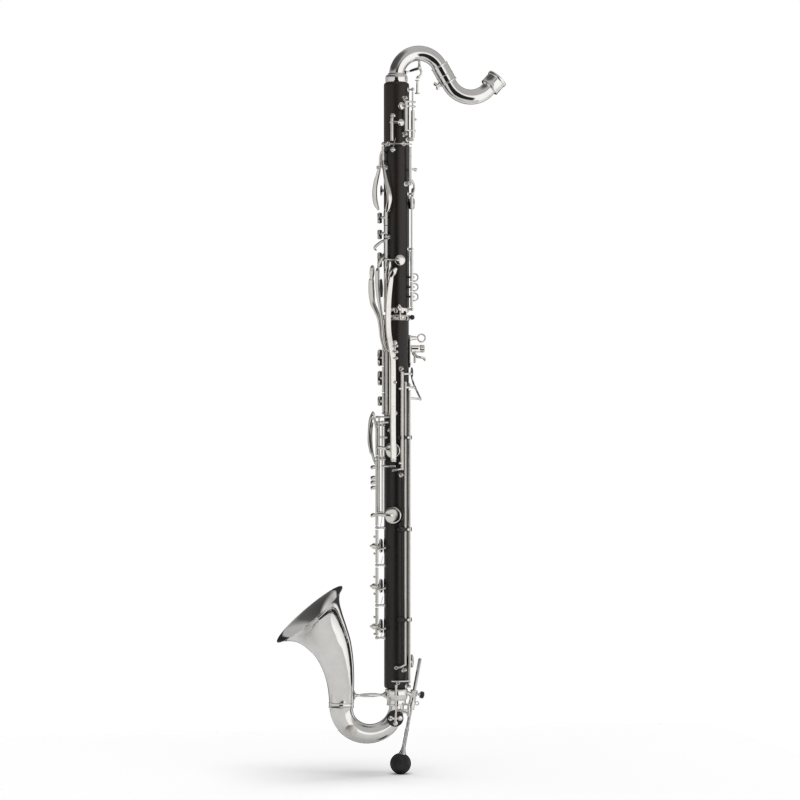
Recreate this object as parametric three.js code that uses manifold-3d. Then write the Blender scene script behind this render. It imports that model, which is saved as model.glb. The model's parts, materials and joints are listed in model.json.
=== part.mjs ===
// Bass clarinet to low C: two blackwood joints, a silvered neck and bell, and its keywork.
// Millimetres, +Z up, +X toward the player, -X to the front (bell side), -Y to the player's left.
// Heights are counted from the floor under the peg's ball; the outermost group then moves the
// object so that the centre of the strap ring is the origin.
import * as THREE from 'three';
import { mergeVertices } from 'three/addons/utils/BufferGeometryUtils.js';
import Module from 'manifold-3d';

const wasm = await Module();
wasm.setup();

// ---- driving dimensions -------------------------------------------------------------------
const GAP = 0.3;
const BORE = 11.7;
const UPPER = { top: 981, foot: 655, radius: 18 };
const LOWER = { top: 652, foot: 122, radius: 17.5 };
const TENON = { radius: 14.4, length: 22 };
const NECK = { radius: 10.7, wall: 1.1, bend: 33, centreHeight: 991.2, fallAngle: 60 };
const SLEEVE = { radius: 12.2, bead: 12.8, length: 29 };
const MOUTH = { bend: 30.4, straight: 5, riseAngle: 48.7, radius: 10.6 };
const RECEIVER = { radius: 14.2, bead: 15.3, bore: 12.9, length: 18 };
const BOW = { reach: 79.5, depth: 37, height: 95, wall: 1.1, start: 9.8, end: 15.6 };
const RING = { x: 36.3, height: 619.1, radius: 5.4, wire: 1.1 };
const ROD = { radius: 1.0, tube: 2.1, clearance: 1.35 };
const KEY_RADIUS = 23.8;

// ---- materials ----------------------------------------------------------------------------
const finish = (colour, roughness, metalness) => () => new THREE.MeshStandardMaterial({
  color: colour, roughness, metalness,
});
const blackwood = finish(0x1b1816, 0.42, 0);
const silver = finish(0xd9dade, 0.14, 1);
const steel = finish(0xb9bbbf, 0.25, 1);
const rubber = finish(0x141414, 0.7, 0);

const model = new THREE.Group();
const floorFrame = new THREE.Group();
floorFrame.position.set(-RING.x, 0, -RING.height);
model.add(floorFrame);

// ---- solids -------------------------------------------------------------------------------
function signedVolume(position, index) {
  const [a, b, c] = [new THREE.Vector3(), new THREE.Vector3(), new THREE.Vector3()];
  let total = 0;
  for (let i = 0; i < index.length; i += 3) {
    a.fromArray(position, index[i] * 3);
    b.fromArray(position, index[i + 1] * 3);
    c.fromArray(position, index[i + 2] * 3);
    total += a.dot(b.cross(c));
  }
  return total / 6;
}

function toSolid(geometry) {
  const bare = geometry.clone();
  bare.deleteAttribute('normal');
  bare.deleteAttribute('uv');
  const merged = mergeVertices(bare, 1e-4);
  const position = new Float32Array(merged.attributes.position.array);
  const triangles = [];
  const source = merged.index.array;
  for (let i = 0; i < source.length; i += 3) {
    const [a, b, c] = [source[i], source[i + 1], source[i + 2]];
    if (a !== b && b !== c && c !== a) triangles.push(a, b, c);
  }
  const outward = signedVolume(position, triangles) > 0;
  if (!outward) triangles.reverse();
  return new wasm.Manifold(new wasm.Mesh({
    numProp: 3, vertProperties: position, triVerts: new Uint32Array(triangles),
  }));
}

function toGeometry(solid) {
  const mesh = solid.getMesh();
  const geometry = new THREE.BufferGeometry();
  geometry.setAttribute('position', new THREE.BufferAttribute(new Float32Array(mesh.vertProperties), 3));
  geometry.setIndex(new THREE.BufferAttribute(new Uint32Array(mesh.triVerts), 1));
  geometry.computeVertexNormals();
  return geometry;
}

function join(pieces, cuts = []) {
  let solid = toSolid(pieces[0]);
  for (const piece of pieces.slice(1)) solid = solid.add(toSolid(piece));
  for (const cut of cuts) solid = solid.subtract(toSolid(cut));
  return toGeometry(solid);
}

function add(name, geometry, material) {
  const mesh = new THREE.Mesh(geometry, material());
  mesh.name = name;
  floorFrame.add(mesh);
  return mesh;
}

// ---- basic shapes -------------------------------------------------------------------------
const point = (x, y, z) => new THREE.Vector3(x, y, z);

// A point beside the body: degrees run from the player's left (0) to the back (90) and front (-90).
function around(degrees, radius, height) {
  const angle = THREE.MathUtils.degToRad(degrees);
  return point(radius * Math.sin(angle), -radius * Math.cos(angle), height);
}

function aim(geometry, from, to) {
  const way = to.clone().sub(from).normalize();
  geometry.applyQuaternion(new THREE.Quaternion().setFromUnitVectors(point(0, 1, 0), way));
  const middle = from.clone().add(to).multiplyScalar(0.5);
  geometry.translate(middle.x, middle.y, middle.z);
  return geometry;
}

function bar(from, to, radius, sides = 6, endRadius = radius) {
  const length = from.distanceTo(to);
  return aim(new THREE.CylinderGeometry(endRadius, radius, length, sides), from, to);
}

const ball = (centre, radius, sides = 6) => new THREE.SphereGeometry(radius, sides, Math.ceil(sides / 2))
  .translate(centre.x, centre.y, centre.z);

// A round plate whose near face lies `distance` from the body's axis, square to the direction.
const plateAt = (degrees, distance, height, radius, thickness, sides = 12) => bar(
  around(degrees, distance, height), around(degrees, distance + thickness, height), radius, sides);

function wire(points, radius, sides = 6, steps = points.length * 2, closed = false) {
  const outline = new THREE.Shape().absarc(0, 0, radius, 0, Math.PI * 2);
  const path = new THREE.CatmullRomCurve3(points, closed, 'centripetal');
  return new THREE.ExtrudeGeometry(outline, { steps, curveSegments: Math.ceil(sides / 2), extrudePath: path });
}

function upright(profile, sides = 24) {
  const outline = [...profile, profile[0]].map(([radius, height]) => new THREE.Vector2(radius, height));
  return join([new THREE.LatheGeometry(outline, sides).rotateX(Math.PI / 2)]);
}

// A turned solid bent along a flat path: the profile's [radius, distance] pairs run along the path.
function bentTurned(path, profile, sides = 14) {
  const outline = [...profile, profile[0]].map(([radius, distance]) => new THREE.Vector2(radius, distance));
  const geometry = new THREE.LatheGeometry(outline, sides);
  const place = geometry.attributes.position;
  const across = point(0, 1, 0);
  const length = path.getLength();
  for (let i = 0; i < place.count; i += 1) {
    const share = THREE.MathUtils.clamp(place.getY(i) / length, 0, 1);
    const centre = path.getPointAt(share);
    const side = path.getTangentAt(share).cross(across).normalize();
    centre.addScaledVector(side, place.getX(i)).addScaledVector(across, place.getZ(i));
    place.setXYZ(i, centre.x, centre.y, centre.z);
  }
  return join([geometry]);
}

// The [radius, distance] pairs of a pipe's wall, at even steps between two distances.
function wallLine(radiusAt, from, to, steps) {
  return Array.from({ length: steps + 1 }, (_, i) => {
    const share = i / steps;
    return [radiusAt(share), from + (to - from) * share];
  });
}

function pipe(path, radiusAt, wall, steps, sides) {
  const length = path.getLength();
  return bentTurned(path, [
    ...wallLine(radiusAt, 0, length, steps),
    ...wallLine((share) => radiusAt(1 - share) - wall, length, 0, steps),
  ], sides);
}

function arcPoints(centreX, centreZ, radius, fromDegrees, toDegrees, count) {
  return Array.from({ length: count + 1 }, (_, i) => {
    const angle = THREE.MathUtils.degToRad(fromDegrees + (toDegrees - fromDegrees) * i / count);
    return point(centreX + radius * Math.cos(angle), 0, centreZ + radius * Math.sin(angle));
  });
}

// ---- the two joints -----------------------------------------------------------------------
function buildWood() {
  const socket = TENON.length + 2;
  add('upper_joint', upright([
    [UPPER.radius, UPPER.top], [UPPER.radius, UPPER.foot], [TENON.radius, UPPER.foot],
    [TENON.radius, UPPER.foot - TENON.length], [BORE, UPPER.foot - TENON.length], [BORE, UPPER.top],
  ]), blackwood);
  add('lower_joint', upright([
    [BORE, LOWER.foot - 20], [BORE, LOWER.top - socket], [TENON.radius + GAP, LOWER.top - socket],
    [TENON.radius + GAP, LOWER.top], [LOWER.radius, LOWER.top], [LOWER.radius, LOWER.foot + 5],
    [LOWER.radius - 1.5, LOWER.foot + 1.2], [LOWER.radius - 3, LOWER.foot], [13.2, LOWER.foot],
    [13.2, LOWER.foot - 20],
  ]), blackwood);
}

// ---- neck ---------------------------------------------------------------------------------
const fall = THREE.MathUtils.degToRad(NECK.fallAngle);
const slideWay = point(Math.cos(fall), 0, -Math.sin(fall));
const crookEnd = point(NECK.bend * (1 + Math.sin(fall)), 0, NECK.centreHeight + NECK.bend * Math.cos(fall));
const along = (from, way, distance) => from.clone().addScaledVector(way, distance);

function buildNeck() {
  add('neck_collar', upright([
    [NECK.radius + GAP, UPPER.top + GAP], [14.6, UPPER.top + GAP], [15.6, UPPER.top + 2.5],
    [15.6, UPPER.top + 8], [14.2, UPPER.top + 11.5], [NECK.radius + GAP, UPPER.top + 11.5],
  ]), silver);

  const crookPath = new THREE.CatmullRomCurve3([
    point(0, 0, UPPER.top + 1), ...arcPoints(NECK.bend, NECK.centreHeight, NECK.bend, 180, 90 - NECK.fallAngle, 10),
    along(crookEnd, slideWay, 6), along(crookEnd, slideWay, 12),
  ], false, 'centripetal');
  const crook = pipe(crookPath, () => NECK.radius, NECK.wall, 12);
  const post = bar(point(NECK.bend, 0, NECK.centreHeight + 22.8), point(NECK.bend, 0, 1005.4), 2, 6);
  const fork = [-3.2, 3.2].map((y) => bar(point(NECK.bend, y, 1007.5), point(NECK.bend, y, 1001.5), 1.1, 6));
  const yoke = bar(point(NECK.bend, -4, 1007), point(NECK.bend, 4, 1007), 1.5, 6);
  const pin = bar(point(NECK.bend, -4, 1003), point(NECK.bend, 4, 1003), 0.7, 6);
  add('neck_crook', join([crook, post, yoke, ...fork, pin]), silver);

  const sleevePath = new THREE.LineCurve3(crookEnd, along(crookEnd, slideWay, SLEEVE.length));
  const bore = NECK.radius + GAP;
  add('tuning_sleeve', bentTurned(sleevePath, [
    [bore, 0], [SLEEVE.bead, 0], [SLEEVE.bead, 2.4], [SLEEVE.radius, 2.6], [SLEEVE.radius, SLEEVE.length - 2.6],
    [SLEEVE.bead, SLEEVE.length - 2.4], [SLEEVE.bead, SLEEVE.length], [bore, SLEEVE.length],
  ]), silver);

  const mouthStart = along(crookEnd, slideWay, 14);
  const bendStart = along(crookEnd, slideWay, SLEEVE.length + 8.6);
  const centre = point(bendStart.x + MOUTH.bend * Math.sin(fall), 0, bendStart.z + MOUTH.bend * Math.cos(fall));
  const turn = arcPoints(centre.x, centre.z, MOUTH.bend, 270 - NECK.fallAngle, 270 + MOUTH.riseAngle, 10);
  const rise = THREE.MathUtils.degToRad(MOUTH.riseAngle);
  const riseWay = point(Math.cos(rise), 0, Math.sin(rise));
  const turnEnd = turn[turn.length - 1];
  const mouthPath = new THREE.CatmullRomCurve3([
    mouthStart, along(mouthStart, slideWay, 12), ...turn,
    along(turnEnd, riseWay, MOUTH.straight), along(turnEnd, riseWay, MOUTH.straight + RECEIVER.length),
  ], false, 'centripetal');
  const end = mouthPath.getLength();
  const socket = end - RECEIVER.length;
  add('neck_mouth_bend', bentTurned(mouthPath, [
    ...wallLine(() => MOUTH.radius, 0, socket, 12),
    [RECEIVER.bead - 0.4, socket + 0.1], [RECEIVER.bead - 0.4, socket + 2.2], [RECEIVER.radius, socket + 2.4],
    [RECEIVER.radius, end - 3.4], [RECEIVER.bead, end - 3.2], [RECEIVER.bead, end], [RECEIVER.bore, end],
    [RECEIVER.bore, socket + 3], ...wallLine(() => MOUTH.radius - NECK.wall, socket + 2.8, 0, 12),
  ]), silver);

  const clampFoot = along(crookEnd, slideWay, 24);
  const outWay = point(-Math.sin(fall), 0, -Math.cos(fall));
  const at = (distance, y = 0) => along(clampFoot, outWay, distance).add(point(0, y, 0));
  add('neck_clamp_screw', join([
    bar(at(13.2), at(19), 1.6), ball(at(14.6), 2.4), bar(at(19, -5.5), at(19, 5.5), 1.3),
    ball(at(19.5, -5), 2.4), ball(at(19.5, 5), 2.4),
  ]), silver);
}

function buildNeckVent() {
  const hole = bar(point(NECK.bend, -6, 1003), point(NECK.bend, 6, 1003), 1.0);
  const lever = wire([point(14.6, 0, 996.2), point(19, 0, 999.4), point(26, 0, 1003), point(33, 0, 1003),
    point(36, 0, 997), point(33, 0, 990.5)], 1.2, 4, 8);
  const pad = bar(point(15.2, 0, 996), point(12.3, 0, 996.8), 3, 12);
  const barrel = bar(point(NECK.bend, -1.8, 1003), point(NECK.bend, 1.8, 1003), 2.2);
  const tip = bar(point(33, -0.1, 991), point(33, 0.1, 988.4), 2.4, 10);
  add('neck_vent_key', join([barrel, lever, pad, tip], [hole]), silver);
  add('register_link', join([
    bar(point(30, 0, 986.4), point(30, 0, 984.4), 2.8, 8), bar(point(30, 0, 985), point(30, 0, 967), 1.0),
    bar(point(30, 0, 969), point(30, 0, 966), 3.2, 8),
  ]), silver);
}

// ---- keys on upright rods -------------------------------------------------------------------
// Every hinge rod is upright: `degrees` and `radius` say where it stands beside the body.
function post(degrees, radius, height, wood, size = 2.6) {
  return [
    bar(around(degrees, wood + GAP + 0.2, height), around(degrees, radius, height), 1.7, 5),
    ball(around(degrees, radius, height), size),
  ];
}

function hingeRod(degrees, heights, wood, radius = KEY_RADIUS) {
  const low = Math.min(...heights);
  const high = Math.max(...heights);
  return [
    bar(around(degrees, radius, low), around(degrees, radius, high), ROD.radius, 6),
    ...heights.flatMap((height) => post(degrees, radius, height, wood)),
  ];
}

// An arm follows the body's curve from the hinge to a place further round.
function arm(from, to, thickness = 1.3) {
  const count = Math.max(1, Math.ceil(Math.abs(to.degrees - from.degrees) / 20));
  const points = Array.from({ length: count + 1 }, (_, i) => {
    const share = i / count;
    const mix = (field) => from[field] + (to[field] - from[field]) * share;
    return around(mix('degrees'), mix('radius'), mix('height'));
  });
  return wire(points, thickness, 4, count);
}

const spot = (degrees, radius, height) => ({ degrees, radius, height });

// One key: a hollow hinge tube on its rod, arms, cups and touches, all soldered together.
function key(name, hinge, parts, material = silver) {
  const { degrees, low, high, radius = KEY_RADIUS, tube = ROD.tube } = hinge;
  const barrel = bar(around(degrees, radius, low), around(degrees, radius, high), tube, 7);
  const hole = bar(around(degrees, radius, low - 4), around(degrees, radius, high + 4), ROD.clearance, 6);
  add(name, join([barrel, ...parts], hinge.solid ? [] : [hole]), material);
}

const cupOn = (hinge, degrees, distance, height, radius, thickness = 3.2) => [
  plateAt(degrees, distance, height, radius, thickness),
  arm(spot(hinge.degrees, hinge.radius ?? KEY_RADIUS, height), spot(degrees, distance + thickness - 0.6, height)),
];

function buildRegisterKeys() {
  const wood = UPPER.radius;
  const strut = (height) => bar(around(24, KEY_RADIUS, height), around(44, KEY_RADIUS + 0.4, height), 1.1, 6);
  const bridge = (height) => wire([around(44, KEY_RADIUS, height), around(8, KEY_RADIUS + 2.5, height),
    around(-26.5, KEY_RADIUS, height)], 1.0, 4, 4);
  add('register_frame', join([
    ...hingeRod(44, [900, 837], wood), ...hingeRod(24, [958, 907], wood),
    bar(around(24, KEY_RADIUS, 907), around(24, KEY_RADIUS, 902), 1.2, 6), strut(902),
    bridge(893), bar(around(44, KEY_RADIUS, 900), around(44, KEY_RADIUS, 892), 1.2, 6),
    ...hingeRod(-26.5, [933, 885], wood), bar(around(-26.5, KEY_RADIUS, 894), around(-26.5, KEY_RADIUS, 885), 1.2, 6),
  ]), silver);

  const upper = { degrees: 24, low: 911, high: 954 };
  key('upper_register_key', upper, [
    ...cupOn(upper, -2, wood + 0.6, 947.5, 5.8),
    arm(spot(24, KEY_RADIUS, 952), spot(56, KEY_RADIUS + 2, 952)),
    arm(spot(24, KEY_RADIUS, 914), spot(56, KEY_RADIUS + 2, 914)),
    bar(around(56, KEY_RADIUS + 2, 910), around(56, KEY_RADIUS + 2, 954), 1.6, 8),
  ]);
  const lower = { degrees: -26.5, low: 897, high: 929.5 };
  key('lower_register_key', lower, cupOn(lower, 2, wood + 0.6, 923.5, 5.8));
  const lever = { degrees: 44, low: 840.5, high: 889.5 };
  key('register_lever', lever, [
    arm(spot(44, KEY_RADIUS, 862), spot(78, 27, 858), 1.6), ball(around(78, 27, 858), 3.4),
    arm(spot(78, 27, 858), spot(92, 25, 826), 1.8), plateAt(92, 23.4, 826, 6.5, 2.4, 16),
  ]);
}

function buildThroatKeys() {
  const wood = UPPER.radius;
  add('throat_frame', join(hingeRod(-64, [893.5, 860.5], wood)), silver);
  const spoon = (name, low, high, topDegrees, midDegrees, reach) => {
    const hinge = { degrees: -64, low, high };
    const height = (low + high) / 2;
    key(name, hinge, [
      wire([around(-64, KEY_RADIUS, height), around(topDegrees, 28, height - 3), around(topDegrees, 28.5, 854),
        around(midDegrees, reach, 842), around(midDegrees, reach + 2, 828), around(midDegrees, reach, 812),
        around(topDegrees, 28.5, 808)], 2.0, 6, 9),
    ]);
  };
  spoon('throat_a_key', 878.5, 890, -84, -94, 30);
  spoon('throat_gsharp_key', 864.5, 877.5, -48, -46, 27.5);
}

function buildLeftHandKeys() {
  const wood = UPPER.radius;
  const hingeDegrees = -49;
  add('upper_front_frame', join(hingeRod(hingeDegrees, [800.5, 762, 713], wood)), silver);
  const plateaus = [
    { name: 'finger_plateau_1', low: 778, high: 797.5, height: 789.5, radius: 8 },
    { name: 'finger_plateau_2', low: 765.4, high: 777.4, height: 770, radius: 7 },
    { name: 'finger_plateau_3', low: 716.4, high: 731, height: 730, radius: 11 },
  ];
  for (const { name, low, high, height, radius } of plateaus) {
    const hinge = { degrees: hingeDegrees, low, high };
    const reach = Math.min(Math.max(height, low + 2), high - 2);
    key(name, hinge, [
      plateAt(-101, wood + 2.6, height, radius, 6.5),
      arm(spot(hingeDegrees, KEY_RADIUS, reach), spot(-101, wood + 6, reach), 1.5),
    ]);
  }
  const fork = { degrees: hingeDegrees, low: 732, high: 758.6 };
  key('fork_key', fork, [
    ...cupOn(fork, 0.7, wood + 0.6, 735, 7.7),
    arm(spot(hingeDegrees, KEY_RADIUS, 756), spot(-92, 32, 749.5), 1.3),
  ]);
}

function buildBackKeys() {
  const wood = UPPER.radius;
  const hingeDegrees = 54;
  add('upper_back_frame', join(hingeRod(hingeDegrees, [823, 745, 659.5], wood)), silver);
  const thumb = { degrees: hingeDegrees, low: 802, high: 819.5 };
  key('thumb_plateau', thumb, [
    plateAt(92, wood + 2, 810, 7.4, 5),
    arm(spot(hingeDegrees, KEY_RADIUS, 810), spot(92, wood + 5, 810), 1.5),
  ]);
  const rings = [
    { name: 'side_key_1', low: 699, high: 741.5, height: 705 },
    { name: 'side_key_2', low: 685, high: 698, height: 691.2 },
    { name: 'side_key_3', low: 663, high: 684, height: 677.4 },
  ];
  for (const { name, low, high, height } of rings) {
    const centre = around(78, 25.6, height);
    const loop = Array.from({ length: 12 }, (_, i) => {
      const angle = i * Math.PI / 6;
      return centre.clone().add(point(5.4 * Math.cos(angle), 0, 5.4 * Math.sin(angle)));
    });
    const hinge = { degrees: hingeDegrees, low, high };
    key(name, hinge, [
      wire(loop, 1.05, 4, 12, true),
      bar(around(hingeDegrees, KEY_RADIUS, height), point(centre.x - 5.2, centre.y, height), 1.2, 6),
    ]);
  }
}

// Levers for the left little finger, whose hinges stand across the middle joint, and the
// right-hand plateaus; all their rods share two cross members.
function buildLowerLeftKeys() {
  const wood = LOWER.radius;
  const high = 612;
  const low = 512;
  const cross = (height) => wire(
    [-62, -46, -32, -18].map((degrees) => around(degrees, KEY_RADIUS, height)), 1.3, 4, 4);
  const rodAt = (degrees) => bar(around(degrees, KEY_RADIUS, low), around(degrees, KEY_RADIUS, high), ROD.radius, 6);
  add('lower_left_frame', join([
    cross(high), cross(low), ...[-62, -46, -32, -18].map(rodAt),
    ...[-62, -18].flatMap((degrees) => [high, low].flatMap((height) => post(degrees, KEY_RADIUS, height, wood))),
  ]), silver);

  const plateaus = [
    { name: 'finger_plateau_4', low: 579, high: 608.5, height: 591, radius: 12 },
    { name: 'finger_plateau_5', low: 542, high: 578, height: 562, radius: 10.5 },
    { name: 'finger_plateau_6', low: 515.5, high: 541, height: 529.5, radius: 7 },
  ];
  for (const { name, low: foot, high: head, height, radius } of plateaus) {
    key(name, { degrees: -62, low: foot, high: head }, [
      plateAt(-104, wood + 2.6, height, radius, 6.5),
      arm(spot(-62, KEY_RADIUS, height), spot(-104, wood + 6, height), 1.5),
    ]);
  }
  const paddle = (points, radius) => wire(points, radius, 6, 8);
  key('left_lever_1', { degrees: -46, low: 515.5, high: 608.5 }, [
    paddle([around(-46, KEY_RADIUS, 598), around(-48, 29, 607), around(-52, 30, 625),
      around(-66, 31, 655), around(-78, 35, 690),
      around(-82, 38, 706), around(-84, 38, 716)], 1.9),
  ]);
  key('left_lever_2', { degrees: -32, low: 515.5, high: 608.5 }, [
    paddle([around(-32, KEY_RADIUS, 598), around(-36, 30, 607), around(-40, 31.5, 625),
      around(-49, 32, 655), around(-56, 33, 690),
      around(-58, 34, 712)], 1.9),
  ]);
  const barHeights = [453, 520, 600, 640, 690, 712];
  const barDegrees = [-21, -21, -22, -31, -29, -20];
  const lever = wire(barHeights.map((height, i) => around(barDegrees[i], 28.6, height)), 1.9, 6, 9);
  key('long_bar_key', { degrees: -18, low: 515.5, high: 608.5 }, [
    lever,
    arm(spot(-18, KEY_RADIUS, 590), spot(-21.6, 28.6, 590), 1.5),
    arm(spot(-18, KEY_RADIUS, 530), spot(-21, 28.6, 530), 1.5),
  ]);
}

function buildLowFrontKeys() {
  const wood = LOWER.radius;
  const degrees = -82;
  const radius = 29.5;
  add('low_front_frame', join(hingeRod(degrees, [496, 449, 350, 297, 240, 194], wood, radius)), silver);
  const on = (low, high) => ({ degrees, radius, low, high });
  const paddle = on(452.6, 492.5);
  key('right_paddle_1', paddle, [
    wire([around(degrees, radius, 480), around(-92, 34, 490), around(-96, 37, 482), around(-96, 38.5, 462),
      around(-94, 36, 446)], 2.0, 6, 10),
    plateAt(-28, wood + 0.6, 460, 11, 3.2, 24),
    arm(spot(degrees, radius, 462), spot(-28, wood + 3.4, 460), 1.5),
  ]);
  const second = on(353.5, 445.5);
  key('right_paddle_2', second, [
    arm(spot(degrees, radius, 436), spot(-98, 36, 434), 1.6), plateAt(-98, 34, 434, 5, 2.4, 14),
    plateAt(-25, wood + 0.6, 368, 12, 3.2, 24),
    arm(spot(degrees, radius, 368), spot(-25, wood + 3.4, 368), 1.5),
  ]);
  const lowCups = [
    { name: 'low_e_flat_key', low: 300.5, high: 346.5, height: 324 },
    { name: 'low_d_key', low: 243.5, high: 293.5, height: 267 },
    { name: 'low_c_key', low: 197.5, high: 236.5, height: 210 },
  ];
  for (const { name, low, high, height } of lowCups) {
    const hinge = on(low, high);
    key(name, hinge, [
      plateAt(-104, wood + 2, height, 10, 5, 20),
      arm(spot(degrees, radius, height), spot(-104, wood + 6.4, height), 1.5),
      arm(spot(degrees, radius, height + 6), spot(-94, 37, height + 6), 1.4),
    ]);
  }
}

// Three long rods on the right turn in black guides and carry the thumb levers on the back.
function buildThumbLevers() {
  const wood = LOWER.radius;
  const rodKey = (name, degrees, low, high, tube, parts) => key(name, {
    degrees, low, high, tube, solid: true,
  }, parts);
  rodKey('thumb_lever_1', 8.5, 432, 568, 2.2, [
    arm(spot(8.5, KEY_RADIUS, 566), spot(70, 24.6, 565), 1.5), plateAt(88, 21.6, 563, 6.5, 2.4, 16),
    arm(spot(70, 24.6, 565), spot(88, 23.2, 563), 1.5),
  ]);
  rodKey('thumb_lever_2', 21, 156, 557, 1.4, [
    arm(spot(21, KEY_RADIUS, 549), spot(72, 25.6, 549), 1.5), plateAt(84, 24.6, 549, 5, 2.2, 14),
    arm(spot(72, 25.6, 549), spot(84, 25.7, 549), 1.5),
    arm(spot(21, KEY_RADIUS, 158), spot(2, wood + 4, 154), 1.3), plateAt(2, wood + 0.6, 153, 4, 3.2, 4),
  ]);
  rodKey('thumb_lever_3', 40, 130, 545, 1.8, [
    arm(spot(40, KEY_RADIUS, 533), spot(84, 31, 534), 1.6), plateAt(84, 29.6, 534, 6, 2.4, 14),
    plateAt(84, wood + 2.6, 160, 8.5, 5), arm(spot(40, KEY_RADIUS, 160), spot(84, wood + 6.4, 160), 1.5),
  ]);
  for (const [name, height] of [['rod_guide_1', 478], ['rod_guide_2', 348], ['rod_guide_3', 220]]) {
    const block = wire([around(2, KEY_RADIUS, height), around(20, KEY_RADIUS, height),
      around(32, KEY_RADIUS, height), around(46, KEY_RADIUS, height)], 3.9, 6, 4);
    const holes = [[8.5, 2.9], [21, 2.0], [40, 2.5]].map(([degrees, size]) => bar(
      around(degrees, KEY_RADIUS, height - 5), around(degrees, KEY_RADIUS, height + 5), size, 6));
    const foot = bar(around(29, wood + GAP + 0.2, height), around(29, KEY_RADIUS - 0.4, height), 1.8, 8);
    add(name, join([block, foot], holes), rubber);
  }
}

// ---- middle joint -------------------------------------------------------------------------
function buildMiddleJoint() {
  add('joint_ring', upright([
    [LOWER.radius + GAP, 644], [19.4, 644], [19.4, 651.7], [LOWER.radius + GAP, 651.7],
  ]), silver);
  const half = upright([[UPPER.radius + GAP, 656], [20, 656], [20, 662.5], [UPPER.radius + GAP, 662.5]]);
  const window = new THREE.BoxGeometry(60, 40, 30).translate(0, 6.5, 660);
  const crown = plateAt(0, 18.4, 662, 4.2, 1.5, 16);
  add('latch_bracket', join([half, crown], [window]), silver);
  const screwWay = (distance) => around(46, distance, 648);
  add('latch_screw', join([
    bar(screwWay(19.8), screwWay(24), 1.5), ball(screwWay(26), 3.2, 12),
  ]), rubber);
}

// ---- thumb rest and strap ring ----------------------------------------------------------------
function buildThumbRest() {
  const face = LOWER.radius + GAP;
  const plate = new THREE.BoxGeometry(1.8, 13, 42).translate(face + 1.0, 0, 598);
  const lug = new THREE.BoxGeometry(9.4, 4, 6).translate(face + 5.6, 0, 619);
  const stem = bar(point(face + 9, 0, RING.height), point(RING.x - RING.radius + 0.6, 0, RING.height), 1.4, 8);
  const guides = [-3.4, 3.4].map((y) => bar(point(face + 5, y, 615), point(face + 5, y, 579), 1.3, 8));
  const foot = new THREE.BoxGeometry(6, 11, 3).translate(face + 3.8, 0, 578.5);
  const head = new THREE.BoxGeometry(6, 11, 3).translate(face + 3.8, 0, 614.6);
  const loop = Array.from({ length: 16 }, (_, i) => {
    const angle = i * Math.PI / 8;
    return point(RING.x + RING.radius * Math.cos(angle), 0, RING.height + RING.radius * Math.sin(angle));
  });
  const eye = wire(loop, RING.wire, 4, 16, true);
  add('thumb_rest_plate', join([plate, lug, stem, eye, ...guides, foot, head]), silver);

  const block = new THREE.BoxGeometry(11.5, 13, 10.5).translate(face + 8, 0, 603.6);
  const hook = wire([point(face + 6, 0, 599), point(face + 12, 0, 593), point(face + 18, 0, 592),
    point(face + 23, 0, 589)], 2.6, 8, 10);
  const rest = new THREE.BoxGeometry(12, 15, 3.2).translate(face + 15, 0, 592);
  const slots = [-3.4, 3.4].map((y) => bar(point(face + 5, y, 620), point(face + 5, y, 575), 1.6, 8));
  add('thumb_rest_slider', join([block, hook, rest], slots), silver);
  add('thumb_rest_screw', join([
    bar(point(face + 14.1, 0, 604), point(face + 17, 0, 604), 1.8), bar(point(face + 16, 0, 604),
      point(face + 22.5, 0, 604), 5.2, 16),
  ]), silver);
}

// ---- bell ---------------------------------------------------------------------------------
const bellLine = new THREE.CatmullRomCurve3([
  [-79.5, 96.5], [-79.6, 112], [-81, 135], [-85, 158], [-92, 180], [-101, 197], [-112, 213], [-125, 228.5],
].map(([x, z]) => point(x, 0, z)), false, 'centripetal');

// Outer radius of the bell against its share of the way to the rim: slow cone, then the flare.
function bellRadius(share) {
  return 17.2 + 26.5 * share ** 1.75 + 16.6 * share ** 14;
}

function buildBell() {
  add('bell_collar', upright([
    [13.5, 99.5], [13.5, 121.2], [16, 121.2], [16, 109.5], [14, 108], [14, 98], [10.2, 96.5], [10.2, 99.5],
  ]), silver);
  const bowPath = new THREE.CatmullRomCurve3([
    point(0, 0, 99), ...arcPoints(-BOW.reach / 2, 0, BOW.reach / 2, 0, -180, 14).map((p) => point(
      p.x, 0, BOW.height + p.z * BOW.depth / (BOW.reach / 2))),
  ], false, 'centripetal');
  const bowRadius = (share) => BOW.start + (BOW.end - BOW.start) * Math.min(1, share ** 0.8);
  add('bell_bow', pipe(bowPath, bowRadius, BOW.wall, 12), silver);
  const length = bellLine.getLength();
  const shareOf = (share) => share ** 0.8;
  const wall = Array.from({ length: 11 }, (_, i) => shareOf(i / 10));
  add('bell', bentTurned(bellLine, [
    ...wall.map((share) => [bellRadius(share), share * length]), [bellRadius(1) + 0.8, length - 1],
    [bellRadius(1) + 0.6, length], ...wall.reverse().map((share) => [bellRadius(share) - BOW.wall, share * length]),
  ], 24), silver);
  add('bell_brace', join([
    bar(point(-60.4, 0, 112.6), point(-16.5, 0, 112.6), 2.2, 10), bar(point(-49, 0, 112.6),
      point(-28, 0, 112.6), 3.8, 12),
    bar(point(-61.4, 0, 112.6), point(-59, 0, 112.6), 5, 12), bar(point(-18.6, 0, 112.6),
      point(-16.4, 0, 112.6), 4, 12),
  ]), silver);
  const ventHinge = { degrees: 44, radius: 21 };
  key('bell_vent_key', { ...ventHinge, low: 86, high: 98, tube: 1.9, solid: true }, [
    plateAt(2, 12.2, 79.5, 12, 4.5, 24),
    wire([around(44, 21, 92), around(28, 21, 86), around(10, 19.5, 82), around(2, 16.4, 79.5)], 1.5, 4, 4),
    wire([around(2, 16, 80), around(0, 19, 95), around(0, 20.5, 118), around(0, 20.5, 130)], 1.3, 4, 4),
  ]);
}

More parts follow.
